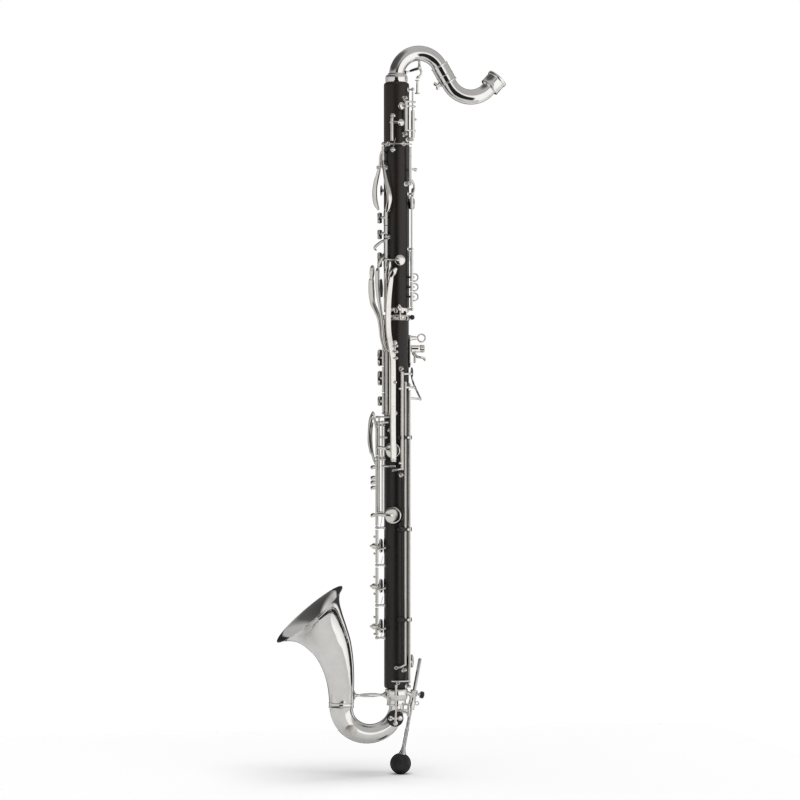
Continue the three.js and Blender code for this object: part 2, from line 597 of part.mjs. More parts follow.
// ---- floor peg ----------------------------------------------------------------------------
const pegFoot = point(5.9, 0, 14.6);
const pegTop = point(34.3, 0, 163.7);
const pegWay = pegTop.clone().sub(pegFoot).normalize();
const onPeg = (distance) => along(pegFoot, pegWay, distance);

function buildPeg() {
  const collar = onPeg(92);
  const hole = bar(onPeg(60), onPeg(125), 2.8, 16);
  const bridge = new THREE.BoxGeometry(8, 6, 10).translate(20.4, 0, 112);
  const screwHole = bar(point(collar.x + 2, 0, 104.5), point(collar.x + 12, 0, 107), 1.6, 10);
  add('peg_receiver', join([bar(onPeg(78), onPeg(106), 5.2, 16), bridge], [hole, screwHole]), silver);
  add('floor_peg', join([bar(onPeg(14.6), onPeg(151.8), 2.4, 12), bar(onPeg(14.6), onPeg(24), 5.6, 14, 2.6)]), steel);
  add('peg_ball', join([ball(pegFoot, 14.6, 14)]), rubber);
  const side = point(pegWay.z, 0, -pegWay.x);
  const knob = (distance) => along(onPeg(101), side, distance);
  add('peg_screw', join([bar(knob(5.5), knob(9), 1.4), bar(knob(8.6), knob(15), 4.8, 14)]), rubber);
}

buildWood();
buildNeck();
buildNeckVent();
buildRegisterKeys();
buildThroatKeys();
buildLeftHandKeys();
buildBackKeys();
buildLowerLeftKeys();
buildLowFrontKeys();
buildThumbLevers();
buildMiddleJoint();
buildThumbRest();
buildBell();
buildPeg();

export default model;
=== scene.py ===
"""Visual model of a bass clarinet to low C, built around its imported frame.

Sizes are millimetres. Heights are counted from the floor under the peg's ball, +X runs toward the
player, -X to the front and -Y to the player's left; `to_row` turns such places into the row frame.
"""
import json
import logging
import math
from dataclasses import dataclass, field
from enum import Enum
from typing import Callable, Iterable, Sequence

import bmesh
import bpy
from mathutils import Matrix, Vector

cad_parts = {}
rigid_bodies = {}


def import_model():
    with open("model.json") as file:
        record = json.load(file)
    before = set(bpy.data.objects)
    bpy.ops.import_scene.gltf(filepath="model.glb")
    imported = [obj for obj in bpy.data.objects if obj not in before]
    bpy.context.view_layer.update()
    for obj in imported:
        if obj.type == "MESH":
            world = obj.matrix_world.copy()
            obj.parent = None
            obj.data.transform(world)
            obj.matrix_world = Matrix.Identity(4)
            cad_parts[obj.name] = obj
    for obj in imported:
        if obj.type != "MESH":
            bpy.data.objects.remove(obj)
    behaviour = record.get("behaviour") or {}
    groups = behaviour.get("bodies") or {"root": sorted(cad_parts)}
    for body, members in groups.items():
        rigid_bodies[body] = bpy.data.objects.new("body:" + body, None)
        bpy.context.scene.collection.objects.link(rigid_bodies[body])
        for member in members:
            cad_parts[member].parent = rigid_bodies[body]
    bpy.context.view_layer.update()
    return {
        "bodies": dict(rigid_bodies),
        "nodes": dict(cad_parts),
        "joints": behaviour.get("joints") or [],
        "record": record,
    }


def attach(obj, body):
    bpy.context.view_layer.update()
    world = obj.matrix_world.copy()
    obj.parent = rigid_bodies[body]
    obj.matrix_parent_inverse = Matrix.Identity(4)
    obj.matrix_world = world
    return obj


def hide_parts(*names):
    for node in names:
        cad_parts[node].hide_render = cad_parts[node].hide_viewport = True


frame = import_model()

LOG = logging.getLogger("bass_clarinet")

RING_X = 36.3
RING_HEIGHT = 619.1
UPPER_RADIUS = 18.0
LOWER_RADIUS = 17.5
KEY_RADIUS = 23.8
FRONT_RADIUS = 29.5
ROOT = "instrument"
CUP_PAD = 0.42
PLATEAU_PAD = 0.5
SPRING_WIRE = 0.32
ORIGIN = Vector((0, 0, 0)).freeze()
BACK = Vector((1, 0, 0)).freeze()
RIGHT = Vector((0, 1, 0)).freeze()
FRONT = Vector((0, -1, 0)).freeze()
UP = Vector((0, 0, 1)).freeze()


# ---- places ---------------------------------------------------------------------------------
def to_row(place: Vector) -> Vector:
    """Turns a floor-frame place in millimetres into the row frame in metres."""
    return Vector(((place.x - RING_X) / 1000, place.y / 1000, (place.z - RING_HEIGHT) / 1000))


def around(degrees: float, radius: float, height: float) -> Vector:
    """Finds a place beside the body.

    Args:
        degrees: direction, 0 at the player's left, 90 at the back, -90 at the front.
        radius: distance from the body's axis.
        height: height over the floor.

    Returns:
        The place in the floor frame, in millimetres.
    """
    angle = math.radians(degrees)
    return Vector((radius * math.sin(angle), -radius * math.cos(angle), height))


def outward(place: Vector) -> Vector:
    """Gives the direction away from the body's axis at a place."""
    flat = Vector((place.x, place.y, 0))
    return flat.normalized() if flat.length > 1e-6 else FRONT


def blend_at(values: Sequence[float], share: float) -> float:
    """Reads an even list of values at a share from 0 to 1, on a smooth curve.

    Args:
        values: the even list.
        share: where to read, from 0 to 1.

    Returns:
        The value there.
    """
    if len(values) == 1:
        return values[0]
    spot = min(max(share, 0.0), 1.0) * (len(values) - 1)
    index = min(int(spot), len(values) - 2)
    t = spot - index
    ease = t * t * (3 - 2 * t)
    return values[index] * (1 - ease) + values[index + 1] * ease


def tilted(offset: float, extra: float = 0.0, low: float = 0.0, high: float = 1.0) -> Callable[[Vector], Vector]:
    """Gives a depth direction that is turned from straight away from the body.

    Args:
        offset: degrees of turn everywhere.
        extra: further degrees that come in between two heights.
        low: height where the further turn starts.
        high: height where it is complete.

    Returns:
        a function from a place to the direction there.
    """
    def direction(place: Vector) -> Vector:
        """Works out the direction at a place.

        Args:
            place: a place in the floor frame.

        Returns:
            The depth direction there.
        """
        turn = math.radians(offset + extra * min(1.0, max(0.0, (place.z - low) / (high - low))))
        way = outward(place)
        return Vector((way.x * math.cos(turn) - way.y * math.sin(turn),
                       way.x * math.sin(turn) + way.y * math.cos(turn), 0))

    return direction


def steady(way: Vector) -> Callable[[Vector], Vector]:
    """Gives a depth direction that is the same everywhere."""
    return lambda place: way


def curve_through(points: Sequence[Vector], steps: int, closed: bool = False) -> list[Vector]:
    """Runs a smooth curve through points.

    Args:
        points: the points that the curve passes.
        steps: how many stretches the whole curve has.
        closed: whether it comes back to its start.

    Returns:
        steps + 1 places, or steps places if closed.
    """
    count = len(points)
    spans = count if closed else count - 1
    made = []
    for i in range(steps + (0 if closed else 1)):
        spot = spans * i / steps
        index = min(int(spot), spans - 1)
        t = spot - index
        pick = [points[(index + k) % count] if closed else points[min(max(index + k, 0), count - 1)]
                for k in (-1, 0, 1, 2)]
        a, b, c, d = pick
        made.append(0.5 * ((2 * b) + (c - a) * t + (2 * a - 5 * b + 4 * c - d) * t * t
                           + (3 * b - a - 3 * c + d) * t ** 3))
    return made


# ---- meshes ---------------------------------------------------------------------------------
class Shell:
    """Collects closed turned and swept forms, in millimetres, for one piece."""

    def __init__(self) -> None:
        """Starts with nothing."""
        self.points: list[Vector] = []
        self.faces: list[tuple[int, ...]] = []

    def rings(self, rings: Sequence[Sequence[Vector]], loop: bool = False) -> None:
        """Skins a row of rings of equal count; loop joins the last ring to the first.

        Args:
            rings: the rings, each a list of places.
            loop: whether the last ring joins the first.
        """
        start = len(self.points)
        size = len(rings[0])
        for ring in rings:
            self.points.extend(ring)
        last = len(rings) if loop else len(rings) - 1
        for i in range(last):
            near = start + i * size
            far = start + ((i + 1) % len(rings)) * size
            for k in range(size):
                nxt = (k + 1) % size
                self.faces.append((near + k, near + nxt, far + nxt, far + k))
        if not loop:
            self.faces.append(tuple(start + k for k in reversed(range(size))))
            end = start + (len(rings) - 1) * size
            self.faces.append(tuple(end + k for k in range(size)))

    def turned(self, profile: Sequence[tuple[float, float]], foot: Vector, way: Vector, sides: int = 24,
               ring: bool = False, squash: float = 1.0, upright: Vector | None = None) -> None:
        """Turns a profile about an axis.

        Args:
            profile: (radius, distance along the axis) pairs; a ring's pairs close on themselves.
            foot: where the axis starts.
            way: the axis's direction.
            sides: how many sides the round has.
            ring: whether the profile is a closed loop around a hollow.
            squash: width of the round across `upright`, as a share.
            upright: direction that keeps its full width.
        """
        axis = way.normalized()
        first = (upright or (UP if abs(axis.z) < 0.9 else RIGHT))
        first = (first - axis * first.dot(axis)).normalized()
        second = axis.cross(first)
        made = []
        for radius, distance in profile:
            spread = max(radius, 0.01)
            made.append([foot + axis * distance + first * (spread * math.cos(a))
                         + second * (squash * spread * math.sin(a))
                         for a in (2 * math.pi * k / sides for k in range(sides))])
        self.rings(made, ring)

    def bar(self, start: Vector, end: Vector, radius: float, sides: int = 12, soft: float = 0.25) -> None:
        """Makes a round bar with softened ends.

        Args:
            start: the first end.
            end: the other end.
            radius: the bar's radius.
            sides: sides of the round.
            soft: size of the softened edge.
        """
        length = (end - start).length
        edge = min(soft, radius * 0.5, length * 0.3)
        self.turned([(radius - edge, 0), (radius, edge), (radius, length - edge), (radius - edge, length)],
                    start, end - start, sides)

    def ball(self, centre: Vector, radius: float, sides: int = 14, squash: float = 1.0,
             way: Vector = UP) -> None:
        """Makes a ball, flattened along `way` by `squash`.

        Args:
            centre: the ball's centre.
            radius: its radius.
            sides: sides of the round.
            squash: height over width.
            way: direction that it is flattened along.
        """
        steps = max(6, sides // 2)
        profile = [(radius * math.sin(math.pi * i / steps), -radius * squash * math.cos(math.pi * i / steps))
                   for i in range(steps + 1)]
        self.turned(profile, centre, way, sides)

    def swept(self, points: Sequence[Vector], wide: Sequence[float], deep: Sequence[float], steps: int = 24,
              sides: int = 12, square: float = 2.0, up: Callable[[Vector], Vector] = outward,
              closed: bool = False) -> None:
        """Sweeps a rounded section along a curve.

        Args:
            points: places on the curve.
            wide: half widths along the curve, across `up`.
            deep: half depths along the curve, along `up`.
            steps: stretches along the curve.
            sides: points in the section.
            square: 2 for an ellipse, more for a flatter bar with rounded edges.
            up: gives the depth direction at a place.
            closed: whether the curve is a loop.
        """
        line = curve_through(points, steps, closed)
        count = len(line)
        made = []
        for i, place in enumerate(line):
            before = line[i - 1] if closed or i else line[0]
            after = line[(i + 1) % count] if closed or i < count - 1 else line[-1]
            tangent = (after - before).normalized()
            depth = up(place)
            depth = depth - tangent * depth.dot(tangent)
            depth = depth.normalized() if depth.length > 1e-5 else tangent.orthogonal().normalized()
            side = tangent.cross(depth)
            share = i / max(count - 1, 1)
            half_wide, half_deep = blend_at(wide, share), blend_at(deep, share)
            ring = []
            for k in range(sides):
                angle = 2 * math.pi * (k + 0.5) / sides
                cos, sin = math.cos(angle), math.sin(angle)
                ring.append(place + side * (half_wide * math.copysign(abs(cos) ** (2 / square), cos))
                            + depth * (half_deep * math.copysign(abs(sin) ** (2 / square), sin)))
            made.append((place, tangent, min(half_wide, half_deep), ring))
        if closed:
            self.rings([ring for *_, ring in made], True)
            return
        rings = [ring for *_, ring in made]
        for end, sign in ((0, -1), (-1, 1)):
            place, tangent, reach, ring = made[end]
            caps = []
            for tilt in (30, 60, 84):
                shrink, push = math.cos(math.radians(tilt)), math.sin(math.radians(tilt)) * reach
                caps.append([place + (p - place) * shrink + tangent * (sign * push) for p in ring])
            rings = [*reversed(caps), *rings] if sign < 0 else [*rings, *caps]
        self.rings(rings)

    def wire(self, points: Sequence[Vector], radius: float, steps: int = 20, sides: int = 8,
             closed: bool = False) -> None:
        """Sweeps a round wire."""
        self.swept(points, [radius], [radius], steps, sides, closed=closed)

    def bent(self, line: Sequence[Vector], profile: Sequence[tuple[float, float]], sides: int = 48) -> None:
        """Bends a turned ring along a flat line in the X-Z plane.

        Args:
            line: close, even places on the line.
            profile: (radius, distance along the line) pairs that close on themselves.
            sides: how many sides the round has.
        """
        lengths = [0.0]
        for a, b in zip(line, line[1:]):
            lengths.append(lengths[-1] + (b - a).length)
        across = RIGHT
        made = []
        for radius, distance in profile:
            reach = min(max(distance, 0.0), lengths[-1])
            index = max(i for i, length in enumerate(lengths[:-1]) if length <= reach + 1e-9)
            span = lengths[index + 1] - lengths[index]
            t = (reach - lengths[index]) / span
            centre = line[index].lerp(line[index + 1], t)
            before = line[max(index - 1, 0)]
            after = line[min(index + 2, len(line) - 1)]
            near = (line[index + 1] - before).normalized()
            far = (after - line[index]).normalized()
            side = near.lerp(far, t).normalized().cross(across)
            made.append([centre + side * (radius * math.cos(a)) + across * (radius * math.sin(a))
                         for a in (2 * math.pi * k / sides for k in range(sides))])
        self.rings(made, True)

    def place(self, name: str, finish: "Finish", body: str, nodes: Iterable[str] = (),
              sharp: float = 40.0) -> bpy.types.Object:
        """Makes the piece.

        Args:
            name: the piece's name.
            finish: what it is made of.
            body: the moving body that it rides.
            nodes: the frame's nodes that it stands for.
            sharp: angle over which an edge stays crisp.

        Returns:
            The new object.
        """
        mesh = bpy.data.meshes.new(name)
        mesh.from_pydata([to_row(p) for p in self.points], [], self.faces)
        mesh.validate()
        outside(mesh)
        mesh.shade_smooth()
        mesh.set_sharp_from_angle(angle=math.radians(sharp))
        piece = bpy.data.objects.new(name, mesh)
        bpy.context.scene.collection.objects.link(piece)
        piece.data.materials.append(finish.material())
        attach(piece, body)
        if nodes:
            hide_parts(*nodes)
        LOG.info("%s: %d faces on %s", name, len(mesh.polygons), body)
        return piece


def outside(mesh: bpy.types.Mesh) -> None:
    """Turns every closed form of a mesh to face out.

    Args:
        mesh: the mesh to correct.
    """
    work = bmesh.new()
    work.from_mesh(mesh)
    bmesh.ops.recalc_face_normals(work, faces=work.faces)
    work.to_mesh(mesh)
    work.free()


# ---- finishes -------------------------------------------------------------------------------
class Nodes:
    """A short way to write shader nodes."""

    def __init__(self, tree: bpy.types.NodeTree) -> None:
        """Keeps the tree that nodes go in."""
        self.tree = tree

    def add(self, kind: str, **settings: object) -> bpy.types.Node:
        """Adds a node; settings that name an input fill it, and the others set the node.

        Args:
            kind: the node's type.
            settings: values by input name or node setting.

        Returns:
            The new node.
        """
        node = self.tree.nodes.new(kind)
        for key, value in settings.items():
            if hasattr(node, key):
                setattr(node, key, value)
            else:
                node.inputs[key.replace("_", " ")].default_value = value
        return node

    def link(self, start: bpy.types.NodeSocket, end: bpy.types.NodeSocket) -> None:
        """Joins two sockets."""
        self.tree.links.new(start, end)

    def math(self, operation: str, a: object, b: object = 0.0, clamp: bool = False) -> bpy.types.NodeSocket:
        """Adds a Math node on sockets or numbers and gives its output.

        Args:
            operation: the node's operation.
            a: first input.
            b: second input.
            clamp: whether the result is kept in 0..1.

        Returns:
            The result's socket.
        """
        node = self.tree.nodes.new("ShaderNodeMath")
        node.operation = operation
        node.use_clamp = clamp
        for socket, value in zip(node.inputs, (a, b)):
            if isinstance(value, bpy.types.NodeSocket):
                self.link(value, socket)
            else:
                socket.default_value = value
        return node.outputs[0]


def make_group(name: str, takes: dict[str, float], gives: dict[str, str]) -> tuple[bpy.types.NodeTree, Nodes]:
    """Starts a shader node group.

    Args:
        name: the group's name.
        takes: its number inputs and their defaults.
        gives: its outputs and their socket types.

    Returns:
        The group and a writer for its nodes.
    """
    tree = bpy.data.node_groups.new(name, "ShaderNodeTree")
    for label, value in takes.items():
        socket = tree.interface.new_socket(name=label, in_out="INPUT", socket_type="NodeSocketFloat")
        socket.default_value = value
    for label, kind in gives.items():
        tree.interface.new_socket(name=label, in_out="OUTPUT", socket_type=kind)
    return tree, Nodes(tree)


class Effects:
    """Shader effects that several finishes share, each made once."""

    made: dict[str, bpy.types.NodeTree] = {}

    @classmethod
    def handling(cls) -> bpy.types.NodeTree:
        """Gives the group for cloudy handling marks and fine wiping lines on metal.

        Returns:
            The node group.
        """
        if "handling" in cls.made:
            return cls.made["handling"]
        tree, n = make_group("Handling marks", {"Scale": 60.0, "Lines": 0.3},
                             {"Cloud": "NodeSocketFloat", "Height": "NodeSocketFloat"})
        entry = n.add("NodeGroupInput")
        leave = n.add("NodeGroupOutput")
        place = n.add("ShaderNodeTexCoord")
        cloud = n.add("ShaderNodeTexNoise", Detail=3.0, Roughness=0.55)
        n.link(place.outputs["Object"], cloud.inputs["Vector"])
        n.link(entry.outputs["Scale"], cloud.inputs["Scale"])
        stretch = n.add("ShaderNodeMapping")
        stretch.inputs["Scale"].default_value = (900, 900, 60)
        n.link(place.outputs["Object"], stretch.inputs["Vector"])
        lines = n.add("ShaderNodeTexNoise", Scale=1.0, Detail=2.0)
        n.link(stretch.outputs[0], lines.inputs["Vector"])
        n.link(n.math("SUBTRACT", cloud.outputs[0], 0.5), leave.inputs["Cloud"])
        fine = n.math("MULTIPLY", lines.outputs[0], entry.outputs["Lines"])
        n.link(n.math("ADD", fine, cloud.outputs[0]), leave.inputs["Height"])
        cls.made["handling"] = tree
        return tree

    @classmethod
    def grain(cls) -> bpy.types.NodeTree:
        """Gives the group for wood figure and pores that run along the height.

        Returns:
            The node group.
        """
        if "grain" in cls.made:
            return cls.made["grain"]
        tree, n = make_group("Blackwood grain", {"Figure": 1.0, "Pores": 1.0},
                             {"Tone": "NodeSocketFloat", "Pore": "NodeSocketFloat", "Height": "NodeSocketFloat"})
        entry = n.add("NodeGroupInput")
        leave = n.add("NodeGroupOutput")
        place = n.add("ShaderNodeTexCoord")
        along = n.add("ShaderNodeMapping")
        along.inputs["Scale"].default_value = (160, 160, 5)
        n.link(place.outputs["Object"], along.inputs["Vector"])
        figure = n.add("ShaderNodeTexNoise", Scale=1.0, Detail=5.0, Roughness=0.6, Distortion=0.4)
        n.link(along.outputs[0], figure.inputs["Vector"])
        thin = n.add("ShaderNodeMapping")
        thin.inputs["Scale"].default_value = (1900, 1900, 70)
        n.link(place.outputs["Object"], thin.inputs["Vector"])
        pores = n.add("ShaderNodeTexNoise", Scale=1.0, Detail=1.5)
        n.link(thin.outputs[0], pores.inputs["Vector"])
        pore = n.math("MULTIPLY", n.math("SUBTRACT", pores.outputs[0], 0.58), 9.0, clamp=True)
        pore = n.math("MULTIPLY", pore, entry.outputs["Pores"])
        tone = n.math("MULTIPLY", n.math("SUBTRACT", figure.outputs[0], 0.5), entry.outputs["Figure"])
        n.link(tone, leave.inputs["Tone"])
        n.link(pore, leave.inputs["Pore"])
        n.link(n.math("SUBTRACT", n.math("MULTIPLY", figure.outputs[0], 0.15), pore), leave.inputs["Height"])
        cls.made["grain"] = tree
        return tree


class Slot(Enum):
    """The frame's material slots."""

    BLACKWOOD = "blackwood"
    SILVER_PLATE = "silver_plate"
    KEYWORK = "keywork_silver"
    STEEL = "steel"
    RUBBER = "rubber"
    BLACK_PLASTIC = "black_plastic"


@dataclass(frozen=True)
class Finish:
    """What a piece is made of; each kind fills a Principled shader in its own way."""

    name: str
    kind: Slot
    colour: tuple[float, float, float]
    roughness: float
    cache: dict[str, bpy.types.Material] = field(default_factory=dict, compare=False, repr=False)

    @property
    def slot(self) -> str:
        """Gives the slot's name."""
        return self.kind.value

    def material(self) -> bpy.types.Material:
        """Gives the finish's material, made on first use.

        Returns:
            The material.
        """
        if "made" not in self.cache:
            material = bpy.data.materials.new(self.name)
            material.use_nodes = True
            shader = material.node_tree.nodes["Principled BSDF"]
            shader.inputs["Base Color"].default_value = (*self.colour, 1)
            shader.inputs["Roughness"].default_value = self.roughness
            self.dress(Nodes(material.node_tree), shader)
            self.cache["made"] = material
        return self.cache["made"]

    def tint(self, n: Nodes, shader: bpy.types.Node, amount: bpy.types.NodeSocket,
             other: tuple[float, float, float]) -> None:
        """Mixes the colour toward another by an amount that changes over the surface.

        Args:
            n: the writer of the material's nodes.
            shader: the material's Principled node.
            amount: share of the other colour, 0..1.
            other: the other colour.
        """
        mix = n.tree.nodes.new("ShaderNodeMix")
        mix.data_type = "RGBA"
        mix.inputs[6].default_value = (*self.colour, 1)
        mix.inputs[7].default_value = (*other, 1)
        n.link(amount, mix.inputs[0])
        n.link(mix.outputs[2], shader.inputs["Base Color"])

    def relief(self, n: Nodes, shader: bpy.types.Node, height: bpy.types.NodeSocket, strength: float,
               distance: float = 0.0002) -> None:
        """Raises the surface by a height through a Bump node.

        Args:
            n: the writer of the material's nodes.
            shader: the material's Principled node.
            height: the height's socket.
            strength: the Bump node's strength.
            distance: its distance in metres.
        """
        bump = n.add("ShaderNodeBump", Strength=strength, Distance=distance)
        n.link(height, bump.inputs["Height"])
        n.link(bump.outputs[0], shader.inputs["Normal"])

    def dress(self, n: Nodes, shader: bpy.types.Node) -> None:
        """Adds the finish's own detail."""


@dataclass(frozen=True)
class Plate(Finish):
    """Polished plated metal with faint clouding and wiping lines."""

    scale: float = 60.0
    haze: float = 0.10
    tarnish: tuple[float, float, float] = (0.72, 0.69, 0.63)

    def dress(self, n: Nodes, shader: bpy.types.Node) -> None:
        """Adds clouding, tarnish in patches and wiping lines.

        Args:
            n: the writer of the material's nodes.
            shader: the material's Principled node.
        """
        shader.inputs["Metallic"].default_value = 1.0
        marks = n.add("ShaderNodeGroup")
        marks.node_tree = Effects.handling()
        marks.inputs["Scale"].default_value = self.scale
        rough = n.math("MULTIPLY_ADD", marks.outputs["Cloud"], self.haze)
        rough.node.inputs[2].default_value = self.roughness
        n.link(rough, shader.inputs["Roughness"])
        self.tint(n, shader, n.math("MULTIPLY", n.math("ADD", marks.outputs["Cloud"], 0.12), 0.9, clamp=True),
                  self.tarnish)
        self.relief(n, shader, marks.outputs["Height"], 0.005)


@dataclass(frozen=True)
class Blackwood(Finish):
    """Oiled blackwood: brown figure, open pores and a satin oil film."""

    figure: float = 1.0

    def dress(self, n: Nodes, shader: bpy.types.Node) -> None:
        """Adds figure, pores and the oil film.

        Args:
            n: the writer of the material's nodes.
            shader: the material's Principled node.
        """
        grain = n.add("ShaderNodeGroup")
        grain.node_tree = Effects.grain()
        grain.inputs["Figure"].default_value = self.figure
        tone = n.math("MULTIPLY", n.math("ADD", grain.outputs["Tone"], 0.12), 2.6, clamp=True)
        self.tint(n, shader, tone, (0.020, 0.011, 0.007))
        rough = n.math("MULTIPLY_ADD", grain.outputs["Pore"], 0.25)
        rough.node.inputs[2].default_value = self.roughness
        n.link(rough, shader.inputs["Roughness"])
        shader.inputs["Specular IOR Level"].default_value = 0.52
        self.relief(n, shader, grain.outputs["Height"], 0.12, 0.00006)


@dataclass(frozen=True)
class Dull(Finish):
    """Rubber, leather, cork or felt: a matte skin with fine pitting."""

    scale: float = 900.0
    depth: float = 0.3
    pale: tuple[float, float, float] = (0.05, 0.05, 0.05)

    def dress(self, n: Nodes, shader: bpy.types.Node) -> None:
        """Adds pitting and worn, paler spots.

        Args:
            n: the writer of the material's nodes.
            shader: the material's Principled node.
        """
        place = n.add("ShaderNodeTexCoord")
        pits = n.add("ShaderNodeTexNoise", Scale=self.scale, Detail=3.0)
        n.link(place.outputs["Object"], pits.inputs["Vector"])
        wear = n.add("ShaderNodeTexNoise", Scale=self.scale * 0.08, Detail=4.0)
        n.link(place.outputs["Object"], wear.inputs["Vector"])
        self.tint(n, shader, n.math("MULTIPLY", n.math("SUBTRACT", wear.outputs[0], 0.45), 2.2, clamp=True),
                  self.pale)
        rough = n.math("MULTIPLY_ADD", pits.outputs[0], 0.18)
        rough.node.inputs[2].default_value = self.roughness - 0.09
        n.link(rough, shader.inputs["Roughness"])
        self.relief(n, shader, pits.outputs[0], self.depth)


WOOD_UPPER = Blackwood("Upper joint blackwood", Slot.BLACKWOOD, (0.0070, 0.0050, 0.0040), 0.30)
# The lower joint's blackwood is a darker copy of the upper joint's: its darker colour is painted shade for the weaker
# light low down.
WOOD_LOWER_SHADED = Blackwood("Lower joint blackwood with painted shade", Slot.BLACKWOOD, (0.0052, 0.0043, 0.0038), 0.31, figure=0.6)
SILVER = Plate("Silver plate", Slot.SILVER_PLATE, (0.93, 0.922, 0.90), 0.05)
KEY_SILVER = Plate("Key silver", Slot.KEYWORK, (0.885, 0.86, 0.82), 0.10, scale=140.0, haze=0.14,
                   tarnish=(0.66, 0.61, 0.54))
MATTE_SILVER = Plate("Brushed silver", Slot.SILVER_PLATE, (0.80, 0.77, 0.72), 0.34, scale=200.0, haze=0.2)
STEEL = Plate("Turned steel", Slot.STEEL, (0.66, 0.655, 0.65), 0.22, scale=200.0, haze=0.2, tarnish=(0.5, 0.48, 0.46))
LEATHER = Dull("Black pad leather", Slot.BLACK_PLASTIC, (0.012, 0.012, 0.013), 0.5, scale=1400.0, depth=0.4)
RUBBER = Dull("Moulded rubber", Slot.RUBBER, (0.010, 0.010, 0.010), 0.62, scale=1100.0, depth=0.25)
COMPOSITE = Dull("Black composite", Slot.BLACK_PLASTIC, (0.010, 0.010, 0.010), 0.36, scale=1600.0, depth=0.12)
# Real cork is light brown; this cork is darkened as painted shade for the recessed gap between the joints, where it
# shows.
CORK = Dull("Cork darkened as painted shade", Slot.BLACK_PLASTIC, (0.045, 0.028, 0.016), 0.8, scale=500.0, depth=0.8,
            pale=(0.09, 0.06, 0.035))


# ---- keywork forms --------------------------------------------------------------------------
@dataclass
class Assembly:
    """Gathers a sub-assembly's pieces; build() makes main forms and dress() the small fittings."""

    forms: dict[str, tuple[Shell, Finish, str, tuple[str, ...]]] = field(default_factory=dict, init=False, repr=False)

    def form(self, name: str, finish: Finish, body: str = ROOT, *nodes: str) -> Shell:
        """Gives the named piece's form, started on first use.

        Args:
            name: the piece's name.
            finish: what it is made of.
            body: the moving body that it rides.
            nodes: the frame's nodes that it stands for.

        Returns:
            The form to add to.
        """
        if name not in self.forms:
            self.forms[name] = (Shell(), finish, body, nodes)
        return self.forms[name][0]

    def silver(self, node: str) -> Shell:
        """Gives the silver form of a key, on the key's own body."""
        return self.form(f"{node}_silver", KEY_SILVER, node, node)

    def leather(self, node: str) -> Shell:
        """Gives the pads of a key, on the key's own body."""
        return self.form(f"{node}_pads", LEATHER, node)

    def frame(self, node: str) -> Shell:
        """Gives the fixed pillars of a group of keys."""
        return self.form(f"{node}_pillars", KEY_SILVER, ROOT, node)

    def place(self) -> list[bpy.types.Object]:
        """Makes every piece that has been gathered."""
        return [form.place(name, finish, body, nodes) for name, (form, finish, body, nodes) in self.forms.items()]

    def build(self) -> None:
        """Makes the main forms."""

    def dress(self) -> None:
        """Adds the small fittings."""


def pillar(form: Shell, degrees: float, height: float, radius: float = KEY_RADIUS, base: float = 17.2,
           ball: float = 2.5) -> None:
    """Adds a turned pillar that carries a rod: base flange, waisted stem, ball and screw head.

    Args:
        form: the form to add to.
        degrees: direction from the body's axis.
        height: over the floor.
        radius: from the axis to the ball.
        base: from the axis to the flange.
        ball: the ball's radius.
    """
    way = outward(around(degrees, 1, 0))
    foot = around(degrees, base, height)
    reach = radius - base
    form.turned([(0, 0), (3.3, 0), (3.4, 1.2), (2.4, 1.7), (1.5, 2.6), (1.3, reach * 0.55), (1.5, reach - 2.3),
                 (0, reach - 1.5)], foot, way, 16)
    form.ball(around(degrees, radius, height), ball, 16, 0.9)
    form.turned([(0, -0.2), (1.2, 0), (1.2, 0.5), (0.7, 0.8), (0, 0.8)],
                around(degrees, radius, height + ball * 0.86), UP, 12)


def hinge(form: Shell, degrees: float, low: float, high: float, radius: float = KEY_RADIUS,
          tube: float = 2.1) -> None:
    """Adds a hinge tube with a thin collar at each end and the rod showing past them.

    Args:
        form: the form to add to.
        degrees: direction from the body's axis.
        low: height of the lower end.
        high: height of the upper end.
        radius: from the axis to the tube.
        tube: the tube's radius.
    """
    form.bar(around(degrees, radius, low), around(degrees, radius, high), tube, 16)
    for height in (low + 0.35, high - 1.25):
        form.turned([(tube, 0), (tube + 0.35, 0.15), (tube + 0.35, 0.75), (tube, 0.9)],
                    around(degrees, radius, height), UP, 16)


def pad_cup(metal: Shell, pads: Shell, degrees: float, distance: float, height: float, radius: float,
            thick: float = 5.0, sides: int = 32) -> None:
    """Adds a domed pad cup on a leather pad, facing away from the body.

    Args:
        metal: the silver form.
        pads: the leather form.
        degrees: direction from the body's axis.
        distance: from the axis to the pad's near face.
        height: over the floor.
        radius: the cup's radius.
        thick: pad and cup together.
        sides: sides of the round.
    """
    way = outward(around(degrees, 1, 0))
    foot = around(degrees, distance, height)
    pad = thick * CUP_PAD
    pads.turned([(0, 0), (radius * 0.78, 0), (radius * 0.93, pad * 0.3), (radius * 0.95, pad), (0, pad)], foot, way,
                sides)
    crown = thick - pad
    metal.turned([(0, pad * 0.8), (radius - 0.5, pad * 0.8), (radius, pad * 0.9), (radius, pad + crown * 0.35),
                  (radius * 0.97, pad + crown * 0.55), (radius * 0.86, pad + crown * 0.74),
                  (radius * 0.6, pad + crown * 0.9), (0, pad + crown)], foot, way, sides)


